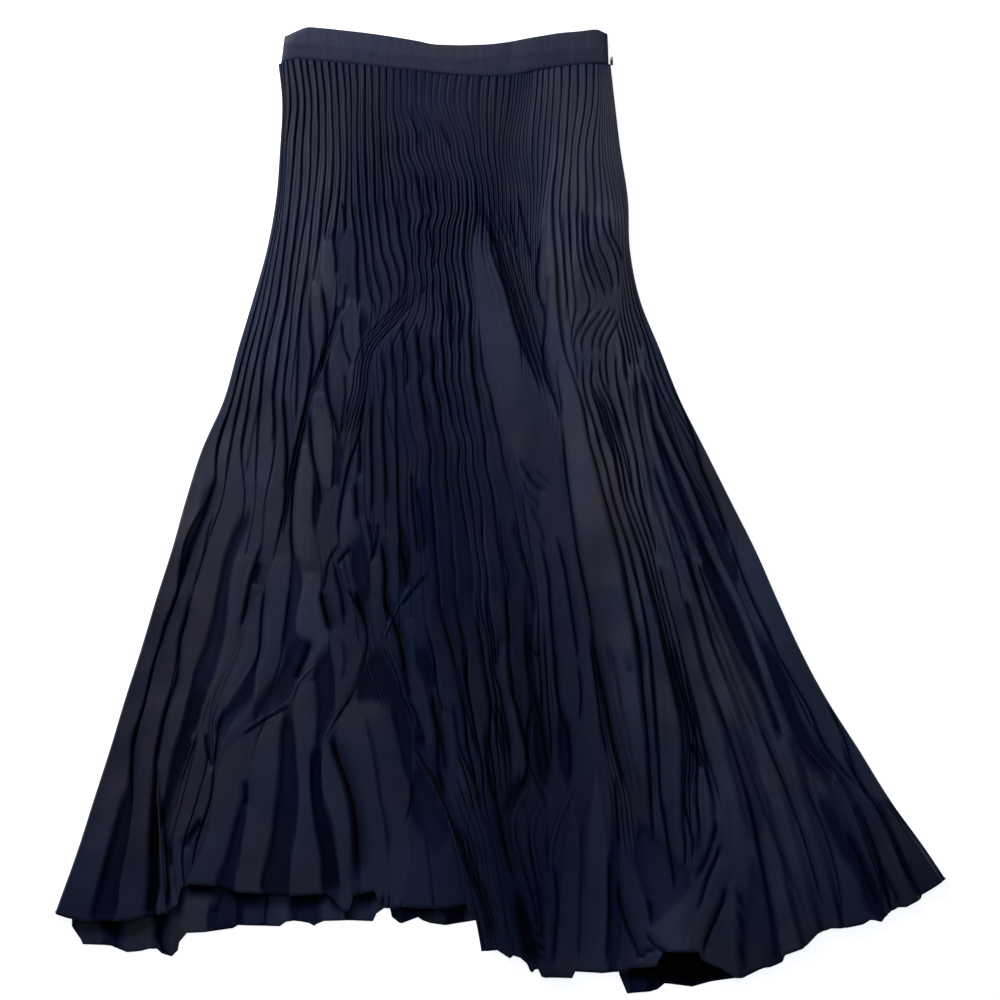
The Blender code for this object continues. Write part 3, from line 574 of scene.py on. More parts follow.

# Patches: name: height above the pleats' mean, share of open sky, width of the edge, outline.
# Inside one the pleats are ironed out. Later ones lie on earlier ones.
# Their share of open sky paints shade into troughs, hollows and dark folds, and light onto faces, lenses and
# pale folds
PATCHES = {
    "dark_10": (-1.2, 0.12, 1.6, ((314, 478), (319, 482), (322, 500), (321, 516), (316, 530), (313, 520),
        (313, 500))),
    "dark_11": (-1.0, 0.25, 2.0, ((333, 440), (342, 444), (341, 470), (337, 492), (331, 492), (333, 465))),
    "inner_12": (0.5, 0.72, 5.0, ((338, 240), (347, 232), (357, 240), (358, 270), (358, 300), (350, 303),
        (344, 296), (339, 270))),
    "lens_7": (1.6, 1.25, 1.4, ((324, 240), (333, 240), (337, 262), (337, 285), (331, 302), (327, 300),
        (324, 280), (322, 262))),
    "lens_6": (1.6, 1.25, 1.4, ((313, 282), (320, 284), (324, 300), (326, 322), (324, 345), (318, 352),
        (314, 330), (312, 305))),
    "lens_8": (1.8, 1.25, 1.4, ((343, 312), (350, 300), (359, 308), (361, 325), (359, 345), (353, 362),
        (347, 350), (344, 335))),
    "dark_13": (-1.0, 0.2, 1.4, ((362, 312), (368, 318), (368, 334), (363, 342), (360, 330))),
    "lens_12": (1.6, 1.25, 1.4, ((331, 345), (339, 334), (344, 345), (346, 372), (342, 398), (335, 408),
        (331, 396), (330, 370))),
    "lens_13": (1.6, 1.25, 1.4, ((349, 366), (356, 364), (360, 380), (359, 398), (353, 412), (348, 402),
        (347, 384))),
    "long_10": (1.8, 1.25, 1.4, ((314, 395), (327, 392), (330, 410), (333, 440), (333, 470), (329, 492),
        (322, 486), (316, 462), (313, 430))),
    "long_9": (1.8, 1.25, 1.4, ((302, 448), (309, 442), (313, 462), (313, 500), (311, 540), (306, 562),
        (299, 560), (294, 540), (294, 500), (297, 470))),
    "wide_11": (0.8, 0.85, 2.0, ((324, 492), (338, 488), (341, 500), (338, 530), (331, 550), (324, 562),
        (318, 545), (320, 515))),
    "long_12": (1.9, 1.25, 1.3, ((343, 504), (349, 492), (354, 498), (355, 520), (351, 540), (344, 552),
        (340, 540), (340, 520))),
    "dark_14": (-0.4, 0.24, 3.0, ((353, 548), (362, 540), (369, 560), (370, 590), (367, 604), (358, 590),
        (352, 570))),
    "lens_14": (1.6, 0.95, 1.4, ((373, 562), (380, 552), (384, 575), (384, 592), (379, 602), (373, 592),
        (371, 575))),
    "dark_15": (-0.9, 0.2, 1.6, ((400, 520), (408, 540), (410, 575), (403, 592), (399, 560))),
    "face_15": (1.4, 0.9, 1.4, ((387, 530), (396, 528), (398, 555), (398, 590), (392, 604), (388, 590),
        (387, 560))),
    # lower left, from the side inwards
    "return_1": (-1.5, 0.15, 2.0, ((131, 785), (133, 800), (132, 820), (130, 840), (122, 880), (115, 915),
        (92, 918), (97, 900), (105, 870), (113, 838), (118, 820), (122, 805))),
    "face_2": (1.5, 0.95, 2.0, ((198, 560), (207, 556), (214, 575), (216, 592), (214, 612), (208, 635),
        (200, 655), (193, 672), (189, 690), (184, 708), (178, 728), (172, 745), (167, 765), (164, 790),
        (158, 800), (158, 780), (160, 755), (164, 735), (168, 712), (175, 692), (180, 670), (182, 645),
        (187, 622), (194, 595), (197, 575))),
    "trough_5": (-1.2, 0.26, 3.2, ((252, 512), (250, 522), (244, 540), (236, 558), (231, 574), (229, 590),
        (227, 620), (224, 640), (219, 660), (213, 680), (208, 691), (194, 685), (196, 670), (203, 652),
        (210, 632), (215, 612), (217, 598), (221, 580), (225, 560), (230, 545), (237, 528), (244, 518))),
    "trough_5_low": (-1.6, 0.1, 4.0, ((194, 685), (208, 690), (203, 710), (199, 725), (196, 740), (190, 755),
        (183, 772), (176, 792), (170, 815), (165, 830), (163, 812), (167, 790), (172, 765), (177, 745),
        (181, 735), (187, 710), (190, 698))),
    "face_5": (1.8, 0.92, 1.8, ((233, 575), (240, 556), (252, 556), (251, 575), (247, 592), (243, 620),
        (238, 645), (230, 665), (222, 680), (213, 697), (206, 712), (203, 728), (196, 745), (192, 742),
        (199, 725), (203, 710), (209, 692), (215, 678), (221, 660), (226, 640), (229, 620))),
    "face_6": (1.0, 0.95, 1.8, ((248, 600), (261, 592), (261, 620), (259, 645), (255, 662), (246, 676),
        (238, 690), (228, 703), (220, 714), (214, 722), (213, 710), (220, 695), (231, 672), (240, 650),
        (246, 625))),
    "trough_7": (-1.0, 0.2, 2.2, ((256, 660), (258, 672), (256, 682), (252, 700), (241, 714), (228, 724),
        (219, 734), (216, 728), (224, 713), (235, 700), (245, 685), (252, 672))),
    "face_7": (1.8, 1.0, 1.8, ((268, 575), (278, 556), (291, 556), (291, 575), (289, 592), (286, 615),
        (283, 640), (279, 655), (270, 667), (260, 678), (258, 690), (256, 700), (256, 680), (259, 662),
        (263, 640), (264, 615))),
    "trough_8": (-0.8, 0.35, 4.0, ((293, 558), (298, 564), (302, 580), (303, 600), (303, 620), (304, 640),
        (300, 655), (284, 652), (287, 625))),
    "hollow_8": (-0.9, 0.24, 6.0, ((290, 645), (300, 638), (309, 640), (306, 655), (300, 670), (296, 682),
        (290, 692), (283, 702), (270, 712), (256, 722), (255, 712), (264, 696), (275, 681), (285, 664))),
    "lens_9": (2.2, 1.25, 1.5, ((304, 575), (318, 572), (322, 596), (327, 615), (330, 635), (327, 652),
        (316, 664), (304, 674), (310, 655), (313, 640), (305, 640))),
    "trough_9": (-0.9, 0.2, 3.0, ((318, 662), (330, 650), (334, 665), (336, 700), (334, 712), (326, 730),
        (319, 746), (316, 735), (317, 700), (314, 680))),
    "lens_10": (1.6, 0.85, 1.5, ((336, 628), (345, 626), (356, 634), (363, 648), (363, 662), (357, 680),
        (349, 697), (338, 713), (336, 700), (335, 670), (332, 650), (332, 635))),
    "hollow_11": (-0.5, 0.16, 5.0, ((368, 662), (372, 655), (380, 650), (386, 660), (394, 675), (400, 690),
        (402, 702), (392, 705), (384, 704), (378, 703), (360, 703), (358, 690), (362, 675))),
    "trough_11": (-0.8, 0.26, 3.0, ((391, 704), (402, 702), (409, 720), (413, 735), (412, 760), (412, 782),
        (405, 770), (401, 750), (396, 730))),
    "trough_12": (-0.4, 0.3, 7.0, ((413, 775), (420, 768), (430, 785), (437, 800), (443, 815), (450, 840),
        (440, 850), (425, 838), (413, 815), (411, 795))),
    "face_a": (1.1, 1.0, 3.5, ((340, 712), (348, 704), (357, 698), (358, 703), (363, 712), (367, 728),
        (373, 750), (377, 770), (380, 790), (384, 815), (388, 850), (390, 893), (366, 893), (360, 865),
        (358, 850), (355, 815), (350, 795), (344, 775), (338, 755), (336, 735))),
    "face_b": (1.1, 1.0, 4.0, ((359, 704), (378, 703), (386, 707), (391, 715), (395, 730), (400, 750),
        (404, 770), (410, 785), (410, 800), (407, 815), (410, 850), (404, 885), (402, 905), (391, 893),
        (389, 850), (384, 815), (380, 790), (376, 765), (372, 745), (367, 725), (362, 712))),
    "face_11": (1.2, 0.9, 1.4, ((371, 595), (383, 598), (386, 615), (384, 630), (379, 641), (374, 628),
        (371, 612))),
    "face_12": (1.6, 0.92, 1.4, ((404, 622), (412, 618), (416, 650), (421, 680), (428, 710), (432, 735),
        (428, 746), (424, 730), (418, 715), (411, 695), (407, 670), (405, 645))),
    "hollow_12": (-0.6, 0.14, 2.2, ((416, 652), (428, 651), (433, 665), (437, 690), (431, 692), (424, 675),
        (418, 665))),
    "hole_12": (-0.5, 0.08, 2.6, ((415, 733), (421, 727), (425, 735), (425, 747), (417, 748))),
    "face_13": (1.2, 0.85, 1.6, ((440, 712), (447, 709), (452, 725), (457, 745), (459, 765), (457, 785),
        (453, 802), (447, 797), (443, 775), (443, 745))),
    # the lower middle
    "lit_e": (1.2, 1.0, 3.0, ((498, 640), (507, 640), (511, 680), (519, 705), (526, 735), (526, 768),
        (514, 782), (509, 750), (503, 715), (497, 680))),
    "dark_a": (-0.6, 0.12, 7.0, ((508, 784), (527, 778), (526, 790), (518, 808), (506, 816))),
    "dark_b": (-0.8, 0.02, 4.0, ((518, 884), (528, 908), (536, 938), (537, 964), (528, 962), (520, 935),
        (514, 908))),
    "dark_c": (-0.6, 0.22, 5.0, ((559, 705), (568, 720), (571, 750), (569, 785), (562, 770), (558, 735))),
    "dark_d": (-0.6, 0.18, 5.0, ((532, 688), (540, 700), (546, 735), (549, 770), (543, 785), (537, 760),
        (534, 725))),
    "lit_f": (0.5, 1.25, 5.0, ((571, 800), (578, 850), (580, 960), (560, 990), (559, 900), (564, 845))),
    "lit_g": (0.5, 1.3, 5.0, ((595, 770), (603, 820), (607, 900), (602, 990), (583, 990), (584, 890),
        (588, 820))),
    # broad returns of the right fan, and the faces between them
    "rib_return_1": (-0.3, 0.85, 2.0, ((633, 385), (638, 388), (643, 413), (648, 439), (655, 461), (662, 484),
        (670, 506), (679, 524), (687, 543), (690, 553), (676, 556), (666, 540), (659, 520), (653, 500),
        (648, 474), (642, 446), (636, 422))),
    "rib_return_2": (-0.6, 0.4, 1.8, ((641, 370), (647, 388), (652, 409), (660, 432), (670, 458), (679, 475),
        (686, 493), (695, 515), (703, 538), (706, 546), (697, 548), (685, 524), (676, 505), (668, 483),
        (661, 461), (653, 438), (647, 412), (642, 388))),
    "rib_return_3": (-0.8, 0.24, 1.8, ((648, 368), (657, 394), (664, 408), (675, 439), (682, 460), (692, 481),
        (706, 503), (717, 524), (729, 550), (738, 572), (736, 588), (722, 564), (712, 540), (702, 515),
        (693, 492), (685, 475), (676, 458), (666, 432), (658, 409), (653, 388))),
    "rib_return_4": (-0.3, 0.8, 2.0, ((668, 396), (678, 418), (688, 443), (697, 468), (708, 492), (720, 520),
        (733, 550), (731, 553), (720, 525), (709, 504), (696, 482), (686, 461), (678, 441), (668, 409))),
    "rib_edge": (0.4, 1.2, 2.0, ((684, 408), (694, 430), (712, 462), (729, 496), (746, 531), (762, 562),
        (748, 566), (737, 552), (724, 520), (713, 492), (703, 467), (696, 442))),
    "fan_edge": (0.5, 1.15, 2.6, ((733, 540), (752, 540), (767, 568), (783, 608), (802, 652), (817, 684),
        (834, 704), (852, 741), (874, 776), (890, 800), (868, 800), (850, 784), (832, 757), (816, 730),
        (801, 702), (788, 674), (773, 640), (756, 604), (742, 573))),
    "fan_a": (-0.9, 0.1, 1.6, ((695, 538), (702, 541), (714, 564), (728, 590), (742, 620), (750, 641),
        (758, 665), (766, 688), (775, 712), (784, 736), (780, 738), (769, 716), (760, 694), (750, 677),
        (743, 665), (733, 644), (723, 618), (712, 591), (702, 569))),
    "fan_ridge": (1.2, 1.25, 1.4, ((703, 540), (709, 540), (722, 563), (736, 589), (749, 619), (757, 640),
        (765, 664), (773, 687), (784, 714), (793, 738), (788, 740), (777, 715), (767, 689), (759, 666),
        (751, 642), (743, 620), (729, 591), (715, 565))),
    "fan_b": (-0.7, 0.16, 1.8, ((752, 628), (761, 636), (774, 652), (785, 674), (793, 696), (801, 717),
        (813, 740), (829, 760), (833, 773), (826, 776), (812, 768), (799, 750), (793, 737), (784, 713),
        (774, 688), (766, 664), (758, 641))),
    "fan_c": (-0.3, 0.62, 8.0, ((728, 726), (744, 740), (754, 780), (762, 826), (754, 836), (742, 812),
        (734, 780), (726, 750))),
    "fan_d": (-0.6, 0.2, 2.2, ((816, 796), (825, 798), (843, 828), (862, 856), (876, 884), (882, 914),
        (871, 912), (858, 880), (840, 852), (826, 824))),
    # beside the lifted hem
    "shaded_a": (-0.4, 0.45, 4.0, ((613, 810), (618, 840), (620, 880), (619, 958), (612, 985), (609, 900))),
    "shaded_b": (-0.3, 0.46, 8.0, ((640, 822), (660, 842), (676, 860), (692, 877), (688, 888), (676, 899),
        (664, 910), (652, 920), (646, 904), (640, 882), (634, 852))),
    "curl_a": (0.7, 0.95, 3.0, ((622, 852), (633, 866), (641, 888), (647, 912), (650, 926), (656, 938),
        (650, 948), (641, 950), (632, 934), (625, 912))),
    "curl_b": (1.2, 1.15, 1.8, ((646, 930), (656, 921), (667, 911), (680, 899), (690, 889), (702, 885),
        (698, 902), (690, 922), (684, 946), (670, 948), (659, 942))),
    "curl_c": (1.6, 1.3, 1.8, ((708, 872), (718, 856), (728, 858), (723, 880), (713, 900), (704, 925),
        (700, 948), (684, 946), (690, 924), (699, 902), (703, 886))),
    "curl_d": (1.4, 1.25, 1.8, ((724, 898), (732, 876), (736, 920), (738, 976), (724, 971), (703, 955),
        (708, 936), (716, 918))),
    "curl_e": (0.9, 1.1, 2.0, ((715, 842), (719, 848), (712, 862), (704, 876), (694, 882), (690, 878),
        (700, 868), (709, 855))),
    "shaded_e": (-0.4, 0.45, 8.0, ((752, 860), (763, 885), (776, 940), (762, 975), (746, 980), (745, 910))),
    # the hem's faces, from the side inwards
    "hem_face_3": (1.6, 0.95, 2.0, ((240, 738), (252, 735), (250, 760), (245, 778), (242, 800), (238, 820),
        (230, 850), (218, 888), (190, 885), (196, 860), (206, 840), (212, 810), (217, 780), (222, 760),
        (230, 745))),
    "hem_return_3": (-2.0, 0.22, 1.8, ((240, 808), (249, 806), (247, 830), (241, 860), (238, 895), (217, 892),
        (226, 860), (233, 835))),
    "hem_face_4": (1.8, 1.0, 1.6, ((270, 722), (285, 712), (281, 735), (280, 760), (277, 800), (272, 840),
        (265, 895), (238, 895), (240, 860), (247, 820), (250, 780), (255, 750), (260, 735))),
    "hem_return_4": (-2.0, 0.18, 1.6, ((286, 712), (293, 718), (297, 750), (299, 780), (298, 820), (294, 860),
        (292, 896), (266, 896), (272, 840), (277, 800), (280, 760), (281, 735))),
    "hem_face_5": (2.0, 1.0, 1.4, ((300, 684), (314, 680), (317, 705), (317, 735), (312, 755), (311, 780),
        (315, 820), (321, 860), (327, 898), (292, 896), (293, 860), (298, 820), (300, 790), (297, 750),
        (294, 720), (295, 700))),
    "hem_return_5": (-2.5, 0.08, 1.4, ((318, 745), (322, 748), (323, 780), (325, 805), (331, 820), (336, 850),
        (338, 890), (328, 896), (322, 860), (315, 820), (311, 780), (312, 757))),
    "shadowed_fold": (-1.8, 0.0, 1.6, ((154, 800), (159, 800), (160, 850), (161, 880), (161, 916), (149, 916),
        (151, 880), (152, 840))),
    "highlit_fold": (1.6, 1.35, 1.2, ((161, 840), (165, 850), (168, 880), (170, 914), (161, 916), (162, 880))),
    "dark_fold": (-0.8, 0.1, 1.2, ((165, 840), (167, 840), (172, 880), (172, 914), (170, 912), (168, 880))),
    "highlit_fold_2": (1.4, 1.25, 1.2, ((168, 866), (171, 866), (175, 885), (179, 900), (178, 910), (173, 910),
        (171, 890))),
    "hem_face_6": (1.6, 1.0, 1.4, ((323, 746), (330, 744), (334, 757), (341, 775), (347, 800), (351, 822),
        (352, 850), (351, 880), (350, 912), (343, 912), (341, 880), (338, 850), (333, 820), (325, 800),
        (322, 775))),
}

# Creases and ribbons: kind, half width, height, then the line's points.
# A slit is a groove with painted dark shade, a crease a faint one, a gash a black one, and a ribbon a thin
# raised edge with painted light on top and painted shade at its foot.
STROKES = (
    # kind, half width, height, points
    ("slit", 1.8, 2.0, ((178, 593), (172, 610), (166, 625), (161, 650))),
    ("slit", 2.6, 2.8, ((139, 722), (134, 745), (134, 762), (132, 777), (132, 800))),
    ("slit", 2.4, 2.8, ((192, 592), (187, 618), (181, 640), (180, 655), (177, 680), (168, 707), (161, 740),
        (158, 765))),
    ("slit", 3.4, 3.8, ((158, 765), (156, 790), (154, 815), (153, 850), (151, 890), (150, 908))),
    ("ribbon", 1.3, 1.2, ((160, 768), (159, 790), (160, 820), (162, 850), (165, 890), (166, 908))),
    ("slit", 2.4, 3.0, ((165, 800), (165, 820), (167, 850), (170, 885), (171, 905))),
    ("ribbon", 0.9, 1.0, ((200, 722), (196, 736), (191, 752), (185, 770), (178, 795), (174, 815))),
    ("slit", 1.3, 1.5, ((198, 737), (193, 750), (188, 764), (181, 785))),
    ("ribbon", 1.0, 1.0, ((221, 698), (214, 714), (212, 735), (213, 752), (216, 768))),
    ("slit", 2.4, 3.0, ((207, 733), (208, 748), (211, 760), (214, 768))),
    ("slit", 1.3, 1.8, ((226, 707), (221, 722), (218, 742), (215, 765))),
    ("slit", 1.8, 2.2, ((265, 590), (262, 620), (260, 650), (256, 670))),
    ("crease", 2.8, 1.5, ((249, 596), (246, 612), (241, 628))),
    ("slit", 1.5, 1.8, ((290, 590), (287, 618), (283, 645))),
    ("slit", 3.0, 3.0, ((311, 640), (306, 657), (299, 672), (296, 682))),
    ("ribbon", 1.6, 0.9, ((320, 660), (309, 670), (299, 681), (290, 700), (279, 708), (266, 716), (251, 725),
        (241, 735))),
    ("slit", 2.0, 1.8, ((292, 706), (280, 711), (268, 718), (256, 727), (243, 734))),
    ("slit", 3.6, 3.1, ((246, 780), (247, 792), (246, 806))),
    ("slit", 4.5, 3.8, ((203, 818), (194, 832), (184, 848))),
    ("slit", 3.4, 3.2, ((322, 594), (325, 610), (330, 631))),
    ("slit", 3.0, 2.8, ((356, 590), (361, 605), (366, 625))),
    ("slit", 1.7, 2.2, ((366, 622), (368, 636), (367, 650), (362, 668), (357, 683), (350, 698), (342, 711),
        (332, 729))),
    ("ribbon", 1.4, 1.1, ((362, 668), (353, 690), (344, 705), (335, 718), (327, 732), (322, 742))),
    ("gash", 3.4, 2.4, ((334, 736), (335, 748), (340, 762), (346, 778), (352, 798), (356, 816), (358, 850),
        (358, 880))),
    ("slit", 4.6, 4.2, ((333, 730), (334, 745), (339, 760), (345, 776), (351, 797), (355, 815), (357, 850),
        (358, 880))),
    ("crease", 2.2, 1.5, ((366, 712), (370, 732), (375, 752), (379, 778), (382, 800), (387, 822),
        (390, 860))),
    ("slit", 1.4, 1.5, ((412, 780), (412, 800), (408, 816))),
    ("ribbon", 0.9, 0.8, ((367, 660), (372, 676), (380, 692), (387, 712))),
    ("ribbon", 1.4, 1.2, ((409, 590), (400, 603), (394, 615), (388, 628), (383, 641))),
    ("slit", 3.0, 3.2, ((393, 618), (398, 632), (402, 646), (405, 665), (408, 685), (412, 702))),
    ("ribbon", 1.6, 1.1, ((388, 645), (396, 662), (402, 680), (407, 698), (414, 712), (420, 728))),
    ("slit", 1.2, 1.5, ((383, 648), (392, 664), (400, 682), (403, 698), (410, 712), (414, 728))),
    ("slit", 1.2, 1.6, ((408, 700), (415, 712), (421, 730))),
    ("slit", 3.4, 3.0, ((432, 690), (434, 707), (438, 728), (439, 750), (439, 768), (442, 784), (447, 800))),
    ("ribbon", 1.1, 1.0, ((411, 740), (416, 755), (426, 772), (437, 792), (447, 815), (455, 840), (463, 865),
        (484, 910))),
    ("slit", 2.2, 2.5, ((414, 745), (424, 762), (434, 778), (441, 795), (450, 816), (458, 838), (468, 865),
        (488, 908))),
    ("crease", 2.5, 1.2, ((343, 640), (346, 660), (343, 682))),
    ("slit", 2.0, 2.2, ((386, 598), (389, 612), (388, 622))),
)

# Narrow faces that stand up between broad returns, with painted light: as the patches, and half their width
FACE_STRIPS = (
    # height, share of open sky, width of the edge, half width, points
    (1.1, 1.4, 1.3, 2.9, ((629, 366), (631, 396), (634, 422), (639, 446), (645, 474), (651, 508), (657, 536),
        (664, 570))),
    (1.2, 1.4, 1.3, 2.5, ((636, 366), (640, 387), (646, 413), (652, 439), (658, 460), (665, 483), (673, 505),
        (682, 523), (692, 546), (700, 566))),
    (1.3, 1.4, 1.3, 3.0, ((639, 348), (644, 370), (650, 387), (655, 408), (663, 431), (673, 457), (682, 474),
        (689, 492), (698, 514), (708, 537), (715, 552))),
    (0.9, 1.25, 1.4, 1.8, ((664, 514), (668, 530), (673, 552), (679, 576), (688, 602))),
)

# Zones: where crumples take the place of even pleats, with painted shade or light over them. Same columns as
# the patches, laid first.
ZONES = {
    "left_of_middle": (1.0, 0.8, 7.0, ((303, 255), (318, 262), (332, 236), (352, 226), (398, 216), (409, 240),
        (411, 275), (424, 300), (437, 318), (434, 345), (437, 380), (424, 400), (427, 440), (420, 480),
        (425, 530), (432, 560), (434, 590), (428, 640), (436, 690), (452, 720), (462, 790), (470, 850),
        (480, 905), (404, 905), (330, 900), (190, 885), (205, 830), (214, 770), (206, 720), (228, 640),
        (238, 580), (255, 520), (272, 470), (280, 420), (290, 380), (298, 330))),
    "left_low": (1.2, 0.88, 6.0, ((206, 478), (228, 470), (262, 470), (262, 520), (245, 560), (235, 600),
        (224, 660), (214, 720), (205, 790), (180, 850), (178, 905), (146, 908), (151, 850), (154, 800),
        (162, 730), (176, 660), (190, 590), (200, 530))),
    "twist": (1.0, 0.6, 34.0, ((462, 815), (480, 800), (500, 792), (530, 794), (545, 802), (545, 860),
        (545, 900), (545, 990), (520, 990), (487, 965), (476, 925), (468, 860))),
}
# Zones where the cloth lies smooth, with painted shade or light over them
BARE_ZONES = {
    "right_crumple": (0.4, 1.25, 9.0, ((576, 240), (590, 226), (612, 222), (621, 250), (623, 300), (617, 330),
        (620, 380), (614, 402), (600, 400), (582, 388), (570, 350), (569, 300), (571, 260))),
    "beside_bundle": (0.4, 1.15, 9.0, ((471, 228), (482, 240), (490, 262), (498, 290), (508, 320), (519, 350),
        (532, 380), (546, 410), (556, 440), (560, 480), (530, 500), (516, 470), (503, 430), (489, 385),
        (478, 335), (472, 280))),
    "under_lap": (0.9, 0.85, 9.0, ((536, 404), (548, 414), (558, 434), (562, 460), (566, 490), (573, 520),
        (580, 560), (587, 600), (593, 640), (599, 690), (606, 730), (610, 770), (612, 800), (612, 850),
        (612, 985), (546, 985), (546, 900), (549, 860), (547, 800), (552, 760), (552, 700), (546, 650),
        (538, 600), (530, 540), (522, 480), (526, 430))),
    "by_the_cave": (1.2, 0.85, 44.0, ((600, 850), (640, 838), (690, 834), (736, 850), (752, 880), (752, 925),
        (756, 990), (700, 990), (650, 990), (640, 990), (600, 990))),
}

